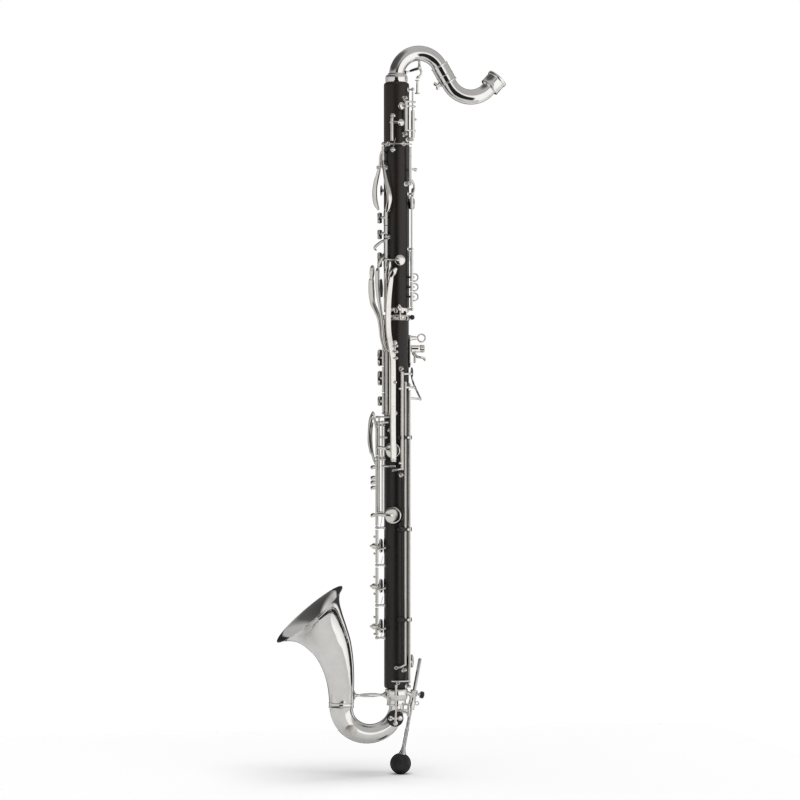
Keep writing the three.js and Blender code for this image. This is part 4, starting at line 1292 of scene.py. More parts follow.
# ---- the lower joint's keys -----------------------------------------------------------------
@dataclass
class LowerKeys(Assembly):
    """The right little finger's paddles, the low notes' keys and the thumb levers."""

    low_cups: tuple[tuple[str, float, float, float], ...] = (
        ("low_e_flat_key", 300.5, 346.5, 324), ("low_d_key", 243.5, 293.5, 267), ("low_c_key", 197.5, 236.5, 210))

    def build(self) -> None:
        """Makes the keys."""
        F = FRONT_RADIUS
        paddle, pads = self.silver("right_paddle_1"), self.leather("right_paddle_1")
        hinge(paddle, -82, 452.6, 492.5, F)
        lever(paddle, [(-82, F, 488), (-85, 31.4, 500), (-88, 34, 511), (-93, 37, 502), (-96, 38.6, 488),
                       (-96, 38.6, 472), (-94, 36.6, 456)],
              [2.0, 2.6, 4.4, 5.8, 5.4, 5.8, 3.2], [1.4, 1.5, 1.8, 2.4, 2.0, 2.4, 1.6], 56)
        pad_cup(paddle, pads, -26, 18.2, 460, 11, 4.6, 44)
        lever(paddle, [(-82, F, 464), (-68, 30, 464), (-52, 28, 463), (-38, 25.4, 461), (-28, 22.4, 460)],
              [2.6, 2.4, 2.4, 2.2, 3.2], [1.6, 1.4, 1.3, 1.1, 0.9], 26)
        second, pads = self.silver("right_paddle_2"), self.leather("right_paddle_2")
        hinge(second, -82, 353.5, 445.5, F)
        lever(second, [(-84, F, 440), (-96, 31, 444), (-104, 34, 454), (-108, 36.6, 470), (-108, 36.4, 486),
                       (-105, 34, 498)],
              [2.0, 3.0, 4.6, 5.4, 5.0, 2.8], [1.3, 1.5, 1.9, 2.2, 1.9, 1.3], 40)
        for height in (435, 420, 413.5, 406, 367):
            lever(second, [(-82, F, height), (-87, 33, height + 1), (-91, 36.2, height)], [1.7, 2.8, 3.0],
                  [1.4, 1.7, 1.2], 14)
        pad_cup(second, pads, -25, 18.3, 368, 12, 4.6, 44)
        lever(second, [(-82, F, 369), (-68, 30, 369), (-52, 28, 368.6), (-36, 25.2, 368.2), (-25, 22.6, 368)],
              [2.6, 2.4, 2.4, 2.2, 3.4], [1.6, 1.4, 1.3, 1.1, 0.9], 26)
        for node, low, high, height in self.low_cups:
            metal, pads = self.silver(node), self.leather(node)
            hinge(metal, -82, low, high, F)
            pad_cup(metal, pads, -104, 19.7, height, 10, 5.2, 36)
            lever(metal, [(-82, F, height), (-92, F - 1.0, height), (-100, 27, height), (-104, 25, height)],
                  [2.6, 2.3, 2.4, 3.4], [1.5, 1.3, 1.2, 0.9], 16)
            lever(metal, [(-80, F, height), (-86, 33, height), (-90, 37.4, height)], [2.6, 4.4, 1.4],
                  [2.0, 2.4, 1.2], 14, 2.0)
            lever(metal, [(-82, F, height - 4), (-66, 28, height - 4), (-52, 24.6, height - 2)], [1.6, 1.3, 1.6],
                  [1.2, 1.0, 1.2], 12)
            for offset in (-11, 13):
                lever(metal, [(-82, F, height + offset), (-90, 31.4, height + offset), (-94, 31.8, height + offset)],
                      [1.6, 1.4, 1.8], [1.2, 1.1, 1.2], 8)
        self.thumb_levers()

    def thumb_levers(self) -> None:
        """Makes the three long thumb levers, the last of which carries the low C cup."""
        R = KEY_RADIUS
        one = self.silver("thumb_lever_1")
        hinge(one, 8.5, 432, 571, tube=2.2)
        lever(one, [(8.5, R, 567.5), (24, 25.6, 568), (44, 25.4, 568), (62, 22.6, 568.6), (74, 21.4, 569.4),
                    (82, 21.2, 570)],
              [2.0, 1.5, 1.8, 3.0, 5.0, 6.4], [1.5, 1.3, 1.4, 1.8, 1.5, 1.0], 30)
        black = self.form("thumb_lever_touch", COMPOSITE, "thumb_lever_1")
        black.turned([(0, 0), (6.4, 0), (7.4, 0.6), (7.3, 1.8), (5.6, 2.5), (0, 2.7)], around(86, 20.8, 570),
                     outward(around(86, 1, 0)), 36, upright=UP, squash=0.86)
        lever(one, [(8.5, R, 434), (-4, 26, 433), (-22, 27, 431.5)], [1.7, 1.2, 1.6], [1.2, 1.1, 1.2], 14)
        for height in (442, 547):
            lever(one, [(8.5, R, height), (4, 26, height), (-2, 26.6, height)], [1.5, 1.3, 1.7], [1.2, 1.1, 1.1], 8)
        two = self.silver("thumb_lever_2")
        hinge(two, 21, 156, 557, tube=1.4)
        lever(two, [(21, R, 549), (44, 25.6, 549), (66, 26.4, 549), (82, 26.4, 549)], [1.8, 1.4, 1.6, 2.6],
              [1.3, 1.2, 1.2, 1.2], 20)
        lever(two, [(84, 21.8, 562.5), (84, 23.8, 556), (84, 26.6, 548)], [3.4, 5.2, 3.8], [1.0, 1.2, 1.0], 16)
        lever(two, [(21, R, 157), (8, 24.2, 154.6), (-4, 24, 153)], [1.5, 1.2, 1.4], [1.2, 1.0, 1.0], 14)
        open_ring(two, around(-12, 23.8, 152.6), 1.9, 0.8, Vector((0.98, -0.19, 0)), UP)
        three, pads = self.silver("thumb_lever_3"), self.leather("thumb_lever_3")
        hinge(three, 40, 130, 545, tube=1.8)
        lever(three, [(40, R, 533.5), (58, 28.4, 533), (74, 32.4, 532.6), (84, 34.4, 532.4)], [1.8, 1.5, 1.6, 2.2],
              [1.3, 1.2, 1.2, 1.1], 22)
        lever(three, [(84, 26.4, 550.6), (84, 29.8, 542), (84, 34.8, 532.2)], [3.0, 5.0, 4.0], [1.0, 1.3, 1.1], 18)
        pad_cup(three, pads, 84, 18.8, 160, 9.4, 5.6)
        lever(three, [(40, R, 160), (56, R + 0.6, 160), (72, R - 0.2, 160), (82, 22.6, 160)], [2.2, 1.8, 2.0, 2.6],
              [1.4, 1.2, 1.0, 0.8], 16)
        lever(three, [(40, R, 133.6), (20, 25, 133.6), (-4, 25, 133.6), (-26, 24, 133.6)], [1.5, 1.1, 1.1, 1.3],
              [1.2, 1.0, 1.0, 1.0], 18)
        open_ring(three, around(-6, 24.6, 131.2), 1.9, 0.8, Vector((0.98, -0.19, 0)), UP)

    def dress(self) -> None:
        """Adds the pillars, the rod guides and the springs."""
        frame = self.frame("low_front_frame")
        for height in (495.5, 449, 350, 297, 240, 194):
            pillar(frame, -82, height, FRONT_RADIUS, 16.8, 2.6)
        for degrees, height in ((8.5, 575), (8.5, 425), (40, 552), (21, 149), (40, 125.5), (-38, 488)):
            pillar(frame, degrees, height, ball=2.3)
        for degrees, radius, low, high in ((-70, 28.8, 370, 508), (-58, 27.2, 372, 502)):
            frame.bar(around(degrees, radius, low), around(degrees, radius, high), 1.4, 12)
        for start, end, height in (((-82, 29.5), (-34, 25.4), 507), ((-82, 29.5), (-38, 25.4), 499.5),
                                   ((-82, 29.5), (-44, 25), 478),
                                   ((-82, 29.5), (-52, 25), 447), ((-60, 27.2), (-16, 25.2), 437.5),
                                   ((-82, 29.5), (-58, 26), 372)):
            middle = ((start[0] + end[0]) / 2, (start[1] + end[1]) / 2 + 1.6)
            lever(frame, [(*start, height), (*middle, height), (*end, height)], [1.6, 1.3, 1.6], [1.3, 1.1, 1.2], 14)
        guides = self.form("rod_guide_screws", KEY_SILVER)
        for index, height in enumerate((478, 348, 220), 1):
            block = self.form(f"rod_guide_{index}_block", COMPOSITE, ROOT, f"rod_guide_{index}")
            block.swept([around(d, 21.2, height) for d in (2, 12, 24, 36, 46)], [3.9], [4.2], 24, 16, 3.6)
            guides.turned([(0, 0), (2.3, 0), (2.4, 0.6), (1.6, 1.1), (0, 1.2)], around(31, 25.2, height),
                          outward(around(31, 1, 0)), 16)
        steel = self.form("lower_springs", STEEL)
        for degrees, low, high in ((-82, 449, 474), (-82, 350, 372), (-82, 297, 309), (-82, 240, 252),
                                   (-82, 194, 203)):
            spring(steel, (degrees, 24.0, low), (degrees - 9, 19.6, high))


# ---- the middle joint and the thumb rest ----------------------------------------------------
@dataclass
class MiddleJoint(Assembly):
    """The metal ring and scalloped bracket that lock the two wooden joints together."""

    ring_low: float = 644.0
    ring_high: float = 651.7

    def build(self) -> None:
        """Makes the ring and the bracket."""
        low, high = self.ring_low, self.ring_high
        ring = self.form("joint_ring_band", KEY_SILVER, ROOT, "joint_ring")
        ring.turned([(17.6, low), (18.6, low), (19.2, low + 0.6), (18.8, low + 1.2), (18.8, high - 1.4),
                     (19.4, high - 0.9), (19.2, high - 0.2), (18.4, high), (17.6, high)], ORIGIN, UP, 64, True)
        bracket = self.form("latch_bracket_plate", KEY_SILVER, ROOT, "latch_bracket")
        bracket.swept([around(d, 19.0, 658.6 + 0.8 * math.cos(math.radians(d) * 2)) for d in range(-40, 41, 8)],
                      [2.4], [0.9], 40, 14, 4)
        for degrees in (-40, -14, 14, 40):
            bracket.swept([around(degrees, 19.0, z) for z in (654.8, 657, 660)], [2.3, 2.6, 2.2], [1.0], 8, 12, 3)
        bracket.swept([around(d, 19.3, 660.6 + 4.0 * (1 - abs(d) / 16) ** 2) for d in (-16, -9, -4, 0, 4, 9, 16)],
                      [1.0, 1.5, 1.8, 1.5, 1.0], [0.9], 24, 10, 3)

    def dress(self) -> None:
        """Adds the hook, its screws and the thumbscrew."""
        ring = self.form("joint_ring_band", KEY_SILVER, ROOT, "joint_ring")
        ring.swept([around(4, 19.8, 645), around(4, 20.6, 649), around(4, 20.2, 654), around(4, 19.8, 657)],
                   [2.0, 1.6, 1.3, 1.0], [0.9, 1.0, 0.9, 0.7], 14, 12, 3)
        for degrees in (16, 28, -20):
            ring.turned([(0, 0), (2.1, 0), (2.1, 0.9), (1.5, 1.4), (0, 1.4)], around(degrees, 19.0, 648),
                        outward(around(degrees, 1, 0)), 18)
        way = outward(around(46, 1, 0))
        screw = self.form("latch_screw_knob", COMPOSITE, "latch_screw", "latch_screw")
        screw.turned([(0, 20.1), (1.4, 20.1), (1.4, 23), (2.6, 24), (3.5, 25.4), (3.6, 27), (2.9, 28.8), (1.4, 29.6),
                      (0, 29.7)],
                     Vector((0, 0, 648)), way, 28)
        self.form("latch_screw_collar", KEY_SILVER, "latch_screw").turned(
            [(1.4, 21.2), (2.3, 21.2), (2.3, 22.4), (1.4, 22.4)], Vector((0, 0, 648)), way, 20, True)


@dataclass
class ThumbRest(Assembly):
    """The right thumb's rest: a plate on the wood, a slider with a hook, its knob and the strap ring."""

    ring_radius: float = 5.4
    ring_wire: float = 1.1

    def build(self) -> None:
        """Makes the plate, the ring and the slider."""
        plate = self.form("thumb_rest_base", KEY_SILVER, ROOT, "thumb_rest_plate")
        plate.swept([Vector((18.6, 0, z)) for z in (578, 581, 590, 600, 610, 616, 618.4)],
                    [4.2, 6.6, 7.0, 7.0, 6.6, 4.6], [1.0], 30, 16, 4, steady(BACK))
        plate.swept([Vector((19, 0, 619)), Vector((23, 0, 619.1)), Vector((28, 0, 619.1))], [4.6, 3.0, 2.6],
                    [4.0, 3.2, 2.6], 12, 16, 2.6, steady(RIGHT))
        open_ring(plate, Vector((RING_X, 0, RING_HEIGHT)), self.ring_radius, self.ring_wire, BACK, UP)
        for sign in (-1, 1):
            plate.bar(Vector((26.4, 3.4 * sign, 583.5)), Vector((26.4, 3.4 * sign, 598.2)), 1.1, 12)
        slider = self.form("thumb_rest_block", KEY_SILVER, "thumb_rest_slider", "thumb_rest_slider")
        slider.swept([Vector((20.4, 0, 603.7)), Vector((26, 0, 603.7)), Vector((31.3, 0, 603.7))], [5.1],
                     [5.8, 5.4, 5.0], 12, 20, 5, steady(RIGHT))
        slider.swept([Vector((25, 0, 597)), Vector((29, 0, 592.8)), Vector((35, 0, 591.6)), Vector((39.6, 0, 590.4)),
                      Vector((41.2, 0, 587.6))], [6.0, 7.4, 7.8, 6.8, 4.2], [2.2, 1.7, 1.5, 1.4, 1.0], 28, 18, 3,
                     lambda p: UP if p.x < 39 else Vector((0.5, 0, 0.86)))

    def dress(self) -> None:
        """Adds the knurled knob, a black bar painted as the slot's shade, and the screws."""
        knob = self.form("thumb_rest_knob", KEY_SILVER, "thumb_rest_screw", "thumb_rest_screw")
        sides = 48
        rings = []
        for x, rim in ((31.6, 1.6), (33.4, 1.6), (33.9, 4.5), (34.5, 5.2), (39.4, 5.2), (40.1, 4.6), (40.2, 2.8),
                       (39.6, 2.2), (39.6, 0.01)):
            ring = []
            for k in range(sides):
                angle = 2 * math.pi * k / sides
                ridge = 0.16 if k % 2 and rim > 5 else 0.0
                ring.append(Vector((x, (rim + ridge) * math.cos(angle), 604 + (rim + ridge) * math.sin(angle))))
            rings.append(ring)
        knob.rings(rings)
        # A black bar on the slider's side: painted shade where the slot's groove would be.
        slot = self.form("thumb_rest_slot_shade", COMPOSITE, "thumb_rest_slider")
        slot.swept([Vector((21.4, -5.3, 604.0)), Vector((26, -5.6, 604.0)), Vector((30.2, -5.3, 604.0))], [0.7],
                   [1.2], 10, 12, 4, steady(UP))
        screws = self.form("thumb_rest_screws", STEEL)
        for y, z in ((-4.2, 583.4), (4.2, 583.4), (0, 614.9)):
            screws.turned([(0, 0), (1.7, 0), (1.6, 0.5), (0.9, 0.8), (0, 0.8)], Vector((19.5, y, z)), BACK, 16)


# ---- the bell -------------------------------------------------------------------------------
@dataclass
class Bell(Assembly):
    """The bell end: collar, bow, flared bell, brace and the vent key over the bow's mouth."""

    bow_reach: float = 79.5
    bow_depth: float = 37.0
    bow_height: float = 95.0
    wall: float = 0.9

    @staticmethod
    def even(line: Sequence[Vector], count: int) -> list[Vector]:
        """Spreads places evenly along a line.

        Args:
            line: the places.
            count: how many to give.

        Returns:
            The evenly spread places.
        """
        lengths = [0.0]
        for a, b in zip(line, line[1:]):
            lengths.append(lengths[-1] + (b - a).length)
        made, index = [], 0
        for i in range(count):
            reach = lengths[-1] * i / (count - 1)
            while index < len(line) - 2 and lengths[index + 1] < reach:
                index += 1
            span = lengths[index + 1] - lengths[index]
            made.append(line[index].lerp(line[index + 1], min((reach - lengths[index]) / span, 1.0)))
        return made

    def bow_line(self) -> list[Vector]:
        """Gives the bow's line, from the collar down and up to the bell.

        Returns:
            Places along the bow.
        """
        half, steps = self.bow_reach / 2, 400
        fine = []
        for i in range(steps + 1):
            turn = math.pi * i / steps
            fine.append(Vector((-half + half * math.cos(turn), 0, self.bow_height - self.bow_depth * math.sin(turn))))
        return self.even([Vector((0, 0, 99)), *fine, Vector((-79.45, 0, 97.4))], 72)

    def bell_line(self) -> list[Vector]:
        """Gives the bell's line from the bow to the rim.

        Returns:
            Places along the bell.
        """
        spots = ((-79.5, 97.6), (-79.6, 112), (-81, 135), (-85, 158), (-92, 180), (-101, 197), (-112, 213),
                 (-125, 228.5))
        return self.even(curve_through([Vector((x, 0, z)) for x, z in spots], 200), 72)

    def build(self) -> None:
        """Makes the collar, the bow and the bell."""
        collar = self.form("bell_collar_tube", SILVER, ROOT, "bell_collar")
        collar.turned([(11.9, 97.5), (13.4, 97.5), (13.9, 98.0), (13.9, 99.4), (13.3, 100.0), (13.3, 105),
                       (15.2, 107.2),
                       (15.5, 109.6), (15.8, 110.2), (16.0, 111), (16.0, 119.6), (15.4, 120.8), (14.4, 121.2),
                       (11.9, 121.2)],
                      ORIGIN, UP, 56, True)
        line = self.bow_line()
        length = Neck.length(line)
        start, end = 10.1, 16.6
        bow = self.form("bell_bow_tube", SILVER, ROOT, "bell_bow")
        outer = [(start + (end - start) * (i / 48) ** 0.9, 0.3 + (length - 0.6) * i / 48) for i in range(49)]
        bow.bent(line, outer + [(r - self.wall, d) for r, d in reversed(outer)], 64)
        line = self.bell_line()
        length = Neck.length(line)
        count = 76
        bell = self.form("bell_flare", SILVER, ROOT, "bell")
        shape = []
        for i in range(count + 1):
            s = i / count
            shape.append((17.2 + 26.5 * s ** 1.75 + 16.0 * s ** 14, length * s))
        rim_radius, rim_at = shape[-1]
        bead = [(rim_radius + 0.5, rim_at - 0.4), (rim_radius + 0.7, rim_at), (rim_radius + 0.2, rim_at),
                (rim_radius - 0.5, rim_at)]
        outside_line = [(r, max(d, 0.2)) for r, d in shape[:-1]]
        inside_line = [(r - self.wall, max(d, 0.2)) for r, d in reversed(shape[:-2])]
        bell.bent(line, outside_line + bead + inside_line, 96)

    def dress(self) -> None:
        """Adds the ferrule, the brace, the vent key and the bow's guard disc."""
        bell = self.form("bell_flare", SILVER, ROOT, "bell")
        bell.turned([(16.8, 95.0), (17.6, 95.1), (18.0, 95.7), (18.0, 96.6), (17.5, 97.2), (17.4, 101.2),
                     (17.9, 101.8), (17.9, 102.8), (17.4, 103.4), (16.8, 103.5)], Vector((-79.6, 0, 0)), UP, 64, True)
        brace = self.form("bell_brace_bar", SILVER, ROOT, "bell_brace")
        start, end = Vector((-61.2, 0, 112.6)), Vector((-16.4, 0, 112.6))
        brace.turned([(0, 0), (5.6, 0), (5.2, 1.2), (3.0, 2.0), (1.8, 4.2), (2.2, 5.2), (1.7, 6.2), (1.9, 9),
                      (2.7, 14), (3.0, 22.4),
                      (2.7, 31), (1.9, 36), (1.7, 38.6), (2.2, 39.6), (1.8, 40.6), (3.0, 42.6), (4.4, 43.6),
                      (4.6, 44.8), (0, 44.8)],
                     start, end - start, 28)
        brace.turned([(0, 0), (7.6, 0), (7.0, 1.0), (0, 1.2)], start - Vector((0.2, 0, 0)), BACK, 4, squash=0.55)
        vent = self.form("bell_vent_clover", KEY_SILVER, "bell_vent_key", "bell_vent_key")
        black = self.form("bell_vent_pad", LEATHER, "bell_vent_key")
        centre = around(-20, 12.0, 80.2)
        black.turned([(0, -1.2), (10.6, -1.2), (11.6, -0.6), (12.0, 0.6), (11.8, 1.6), (10.6, 2.0), (0, 2.0)],
                     centre, FRONT, 48)
        for angle in (0, 180, -90):
            way = Vector((math.cos(math.radians(angle)), 0, math.sin(math.radians(angle))))
            vent.swept([centre + FRONT * 2.3, centre + FRONT * 2.6 + way * 4, centre + FRONT * 2.5 + way * 6.6],
                       [1.5, 1.6, 3.3], [0.7, 0.7, 0.6], 12, 14, up=steady(FRONT))
            vent.turned([(0, 0), (3.3, 0), (3.5, 0.4), (3.0, 0.9), (0, 1.1)], centre + FRONT * 2.0 + way * 6.8,
                        FRONT, 24)
        vent.turned([(0, 0), (2.6, 0), (2.6, 1.0), (1.6, 1.7), (0, 1.8)], centre + FRONT * 2.0, FRONT, 24)
        vent.swept([centre + FRONT * 2.6, Vector((-3.8, -16.4, 92)), Vector((-4.2, -19.0, 106)),
                    Vector((-4.6, -21.6, 120)), Vector((-4.8, -22.6, 128.2))],
                   [1.7, 1.4, 1.3, 1.3, 2.0], [1.1, 1.1, 1.1, 1.1, 1.1], 24, 12, 2.6, steady(FRONT))
        vent.bar(around(44, 21, 86.2), around(44, 21, 97.8), 2.1, 14)
        vent.swept([around(44, 21, 92), around(22, 20.6, 92), around(-12, 17.0, 92)], [1.9, 1.5, 1.7],
                   [1.3, 1.1, 1.1], 14, 12)
        post = self.form("bell_vent_posts", SILVER)
        for height in (84.4, 99.6):
            post.ball(around(44, 21, height), 2.2, 14)
            post.swept([around(44, 21, height), around(40, 17, height + (4 if height < 90 else 0)),
                        around(30, 13.4, height + (5 if height < 90 else 0))],
                       [1.5, 1.5, 2.2], [1.5, 1.5, 2.0], 10, 12)
        disc = self.form("bow_guard_disc", MATTE_SILVER)
        spot = Vector((-68.4, -14.6, 63.4))
        disc.turned([(0, -0.8), (8.8, -0.8), (9.4, -0.2), (9.3, 0.7), (8.2, 1.2), (0, 1.5)], spot,
                    Vector((-0.08, -1, -0.1)), 40)
        disc.swept([spot + Vector((-1.4, -2.2, 5)), spot + Vector((0.4, -2.8, 0)), spot + Vector((-1.0, -2.2, -5))],
                   [0.8, 1.3, 0.8], [0.6], 12, 10, up=steady(FRONT))


# ---- the peg --------------------------------------------------------------------------------
@dataclass
class Peg(Assembly):
    """The floor peg: a rod in an inclined receiver, its thumbscrew and the rubber ball."""

    foot: tuple[float, float] = (5.9, 14.6)
    top: tuple[float, float] = (34.3, 163.7)
    rod: float = 2.4
    ball: float = 14.6

    def __post_init__(self) -> None:
        """Works out the rod's line."""
        self.start = Vector((self.foot[0], 0, self.foot[1]))
        self.way = (Vector((self.top[0], 0, self.top[1])) - self.start).normalized()
        self.side = Vector((self.way.z, 0, -self.way.x))

    def build(self) -> None:
        """Makes the rod, the ball and the receiver."""
        rod = self.form("floor_peg_rod", STEEL, "floor_peg", "floor_peg")
        twist = Shell()
        turns, steps, sides = 4.5, 96, 18
        second = self.way.cross(self.side)
        rings = []
        for i in range(steps + 1):
            along = 24 + (74 - 24) * i / steps
            fade = min(1.0, (along - 24) / 4, (74 - along) / 6)
            ring = []
            for k in range(sides):
                angle = 2 * math.pi * k / sides
                groove = 0.34 * fade * max(0.0, math.cos(3 * (angle - 2 * math.pi * turns * i / steps / 3))) ** 2
                spread = self.rod - groove
                ring.append(self.start + self.way * along + self.side * (spread * math.cos(angle))
                            + second * (spread * math.sin(angle)))
            rings.append(ring)
        twist.rings(rings)
        offset = len(rod.points)
        rod.points += twist.points
        rod.faces += [tuple(offset + k for k in face) for face in twist.faces]
        rod.turned([(0, 73.9), (self.rod, 73.9), (self.rod, 150.6), (self.rod - 0.8, 151.6), (0, 151.8)], self.start,
                   self.way, 20)
        rod.turned([(0, 13.6), (4.9, 13.6), (4.8, 15.2), (3.4, 18.2), (2.9, 20.4), (3.1, 21.2), (2.6, 22.4),
                    (self.rod, 24.2), (0, 24.3)],
                   self.start, self.way, 28)
        rubber = self.form("peg_ball_rubber", RUBBER, "floor_peg", "peg_ball")
        r = self.ball
        rubber.turned([(0, -r)] + [(r * math.sin(math.radians(a)), -r * math.cos(math.radians(a)))
                                   for a in range(6, 158, 6)]
                      + [(5.6, r * 0.93), (5.2, r * 0.9), (0, r * 0.9)], self.start, self.way, 44)
        rubber.turned([(r - 0.1, -0.35), (r + 0.12, -0.2), (r + 0.12, 0.2), (r - 0.1, 0.35)], self.start, self.way,
                      44, True)

    def dress(self) -> None:
        """Adds the receiver's sleeve and arm, and the thumbscrew."""
        holder = self.form("peg_receiver_sleeve", KEY_SILVER, ROOT, "peg_receiver")
        holder.turned([(2.7, 78), (4.6, 78), (5.1, 78.6), (5.2, 80), (4.7, 81), (4.7, 103), (5.2, 104), (5.2, 105.2),
                       (4.6, 106), (2.7, 106)],
                      self.start, self.way, 28, True)
        at = self.start + self.way * 98
        holder.swept([Vector((14.6, 0, 114.4)), Vector((17.6, 0, 114)), at - self.side * 3], [3.6, 3.0, 3.4],
                     [4.6, 3.6, 3.2], 12, 14, 2.6, steady(RIGHT))
        holder.turned([(0, 3.6), (3.0, 3.6), (2.8, 5.6), (0, 5.8)], self.start + self.way * 101, self.side, 20)
        eye = self.start + self.way * 88 + self.side * 7.4
        open_ring(holder, eye, 2.4, 0.8, self.side, self.way)
        holder.bar(self.start + self.way * 88 + self.side * 4, eye - self.side * 2, 1.0, 12)
        screw = self.form("peg_screw_knob", COMPOSITE, "peg_screw", "peg_screw")
        hub = self.start + self.way * 101
        sides = 40
        second = self.way.cross(self.side)
        rings = []
        for reach, rim in ((9.6, 0.01), (9.6, 4.2), (10.2, 4.8), (14.0, 4.8), (14.8, 4.1), (15.0, 0.01)):
            ring = []
            for k in range(sides):
                angle = 2 * math.pi * k / sides
                ridged = rim + (0.18 if k % 2 and rim > 4.5 else 0)
                ring.append(hub + self.side * reach + self.way * (ridged * math.cos(angle))
                            + second * (ridged * math.sin(angle)))
            rings.append(ring)
        screw.rings(rings)
        stem = self.form("peg_screw_stem", STEEL, "peg_screw")
        stem.turned([(0, 6.0), (1.6, 6.0), (1.6, 7.6), (2.4, 7.9), (2.4, 9.6), (0, 9.6)], hub, self.side, 20)
        stem.turned([(0, 14.6), (2.2, 14.9), (2.0, 15.5), (0, 15.6)], hub, self.side, 20)


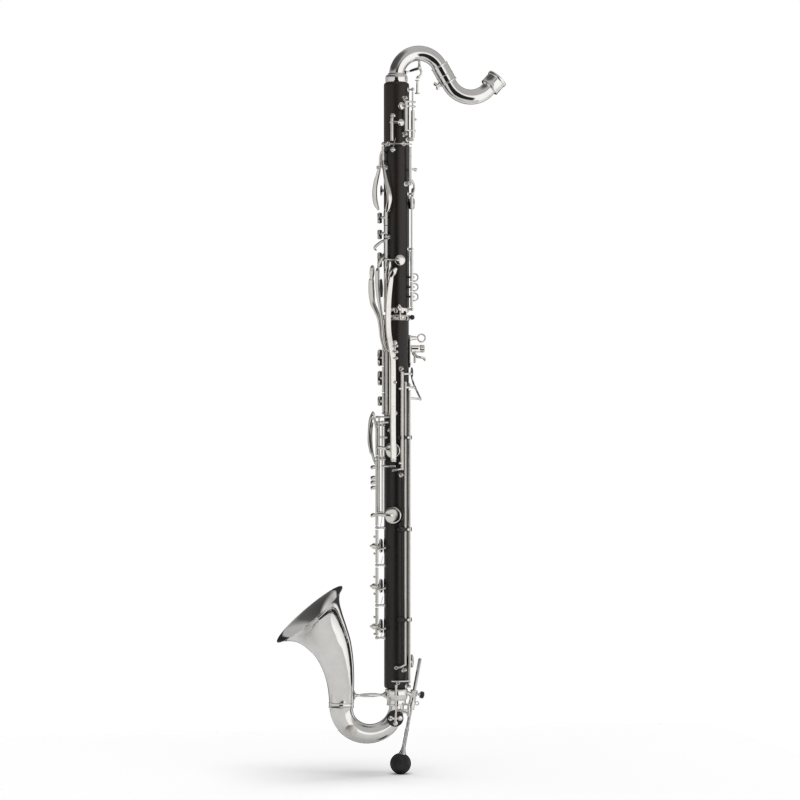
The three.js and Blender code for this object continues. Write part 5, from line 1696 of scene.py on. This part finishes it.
# ---- the studio -----------------------------------------------------------------------------
@dataclass
class Studio:
    """White surroundings with a dark panel in front, a floor that catches the shadow, and the camera."""

    azimuth: float = -11.0
    distance: float = 4.45
    lens: float = 141.0
    aim: tuple[float, float, float] = (4.9, -0.95, 531.0)
    overhead: float = 64.0
    overhead_size: float = 2.3
    floor_half: float = 0.6
    floor_grey: float = 0.48

    def back(self) -> Vector:
        """Gives the level direction from the object to the camera."""
        turn = math.radians(self.azimuth)
        return Vector((math.sin(turn), -math.cos(turn), 0))

    def camera(self) -> None:
        """Makes the scene's camera."""
        data = bpy.data.cameras.new("camera")
        data.lens = self.lens
        data.sensor_width = 36
        data.clip_end = 50
        camera = bpy.data.objects.new("camera", data)
        aim = to_row(Vector(self.aim))
        camera.location = aim + self.back() * self.distance
        camera.rotation_euler = (aim - camera.location).to_track_quat("-Z", "Y").to_euler()
        bpy.context.scene.collection.objects.link(camera)
        bpy.context.scene.camera = camera

    def world(self) -> None:
        """Makes surroundings whose brightness follows direction, and that show as white."""
        world = bpy.data.worlds.new("studio")
        world.use_nodes = True
        bpy.context.scene.world = world
        tree = world.node_tree
        tree.nodes.clear()
        n = Nodes(tree)
        place = n.add("ShaderNodeTexCoord")
        split = n.add("ShaderNodeSeparateXYZ")
        n.link(place.outputs["Generated"], split.inputs[0])
        x, y, z = split.outputs
        level = n.math("SQRT", n.math("ADD", n.math("MULTIPLY", x, x), n.math("MULTIPLY", y, y)))
        level = n.math("MAXIMUM", level, 0.001)
        back = self.back()
        facing = n.math("DIVIDE", n.math("ADD", n.math("MULTIPLY", x, back.x), n.math("MULTIPLY", y, back.y)), level)
        side = n.math("DIVIDE", n.math("SUBTRACT", n.math("MULTIPLY", y, back.x), n.math("MULTIPLY", x, back.y)),
                      level)
        walls = self.ramp(n, self.half(n, facing), ((0.0, 0.9), (0.14, 0.85), (0.3, 0.62), (0.5, 0.85), (0.62, 1.0)))
        left_right = self.ramp(n, self.half(n, side), ((0.0, 0.66), (0.46, 0.72), (0.58, 1.0), (1.0, 1.0)))
        walls = n.math("MULTIPLY", walls, left_right)
        below = n.math("MULTIPLY", n.math("MAXIMUM", n.math("MULTIPLY", z, -1.0), 0.0), 0.17)
        panel = self.ramp(n, n.math("ADD", facing, below), ((0.0, 1.0), (0.935, 1.0), (0.965, 0.02), (1.0, 0.02)))
        under = self.ramp(n, self.half(n, z), ((0.0, 1.0), (0.07, 1.0), (0.11, 0.0), (1.0, 0.0)))
        walls = n.math("MULTIPLY", walls, n.math("MAXIMUM", panel, under))
        overhead = self.ramp(n, self.half(n, z), ((0.0, 0.0), (0.58, 0.0), (0.67, 1.0), (1.0, 1.0)))
        ceiling = self.ramp(n, self.half(n, x), ((0.0, 0.05), (0.28, 0.10), (0.40, 0.44), (1.0, 0.44)))
        away = n.math("ADD", n.math("MULTIPLY", x, -back.x), n.math("MULTIPLY", y, -back.y))
        rim = self.ramp(n, self.half(n, away), ((0.0, 1.0), (0.875, 1.0), (0.905, 0.05), (0.985, 0.05), (1.0, 0.4)))
        blend = n.tree.nodes.new("ShaderNodeMix")
        blend.data_type = "FLOAT"
        n.link(overhead, blend.inputs[0])
        n.link(walls, blend.inputs[2])
        n.link(ceiling, blend.inputs[3])
        shade = n.math("MULTIPLY", blend.outputs[0], rim)
        light = n.add("ShaderNodeBackground")
        n.link(shade, light.inputs["Color"])
        white = n.add("ShaderNodeBackground")
        white.inputs["Color"].default_value = (1, 1, 1, 1)
        ray = n.add("ShaderNodeLightPath")
        both = n.add("ShaderNodeMixShader")
        n.link(ray.outputs["Is Camera Ray"], both.inputs[0])
        n.link(light.outputs[0], both.inputs[1])
        n.link(white.outputs[0], both.inputs[2])
        n.link(both.outputs[0], n.add("ShaderNodeOutputWorld").inputs["Surface"])

    @staticmethod
    def half(n: Nodes, value: bpy.types.NodeSocket) -> bpy.types.NodeSocket:
        """Moves a value from the range -1..1 to 0..1."""
        return n.math("MULTIPLY", n.math("ADD", value, 1.0), 0.5)

    @staticmethod
    def ramp(n: Nodes, share: bpy.types.NodeSocket, stops: Sequence[tuple[float, float]]) -> bpy.types.NodeSocket:
        """Adds a grey ramp with these (place, brightness) stops and gives its output.

        Args:
            n: the writer of the surroundings' nodes.
            share: the place's socket.
            stops: (place, brightness) pairs.

        Returns:
            The grey's socket.
        """
        node = n.add("ShaderNodeValToRGB")
        elements = node.color_ramp.elements
        while len(elements) < len(stops):
            elements.new(0.5)
        for element, (spot, grey) in zip(elements, stops):
            element.position = spot
            element.color = (grey, grey, grey, 1)
        n.link(share, node.inputs[0])
        return node.outputs[0]

    def floor(self) -> None:
        """Makes the floor that catches the shadow, and the light over it."""
        mesh = bpy.data.meshes.new("floor")
        low = -RING_HEIGHT / 1000
        half = self.floor_half
        mesh.from_pydata([(-half, -half, low), (half, -half, low), (half, half, low), (-half, half, low)], [],
                         [(0, 1, 2, 3)])
        floor = bpy.data.objects.new("floor", mesh)
        floor.is_shadow_catcher = True
        material = bpy.data.materials.new("white floor")
        material.use_nodes = True
        material.node_tree.nodes["Principled BSDF"].inputs["Base Color"].default_value = (*[self.floor_grey] * 3, 1)
        floor.data.materials.append(material)
        bpy.context.scene.collection.objects.link(floor)
        data = bpy.data.lights.new("overhead", "AREA")
        data.energy = self.overhead
        data.size = self.overhead_size
        lamp = bpy.data.objects.new("overhead", data)
        lamp.location = (-0.3, -0.2, 1.5)
        lamp.visible_glossy = False
        bpy.context.scene.collection.objects.link(lamp)

    def build(self) -> None:
        """Makes the studio."""
        self.camera()
        self.world()
        self.floor()
        bpy.context.scene.view_settings.view_transform = "Standard"


def main() -> None:
    """Builds every sub-assembly in order and reports what it made."""
    logging.basicConfig(level=logging.INFO, format="%(name)s: %(message)s")
    for assembly in (WoodBody(), Neck(), UpperKeys(), MiddleJoint(), LeftLevers(), LowerKeys(), ThumbRest(), Bell(),
                     Peg()):
        assembly.build()
        assembly.dress()
        made = assembly.place()
        LOG.info("%s: %d pieces", type(assembly).__name__, len(made))
    Studio().build()
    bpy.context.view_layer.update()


if __name__ == "__main__":
    main()
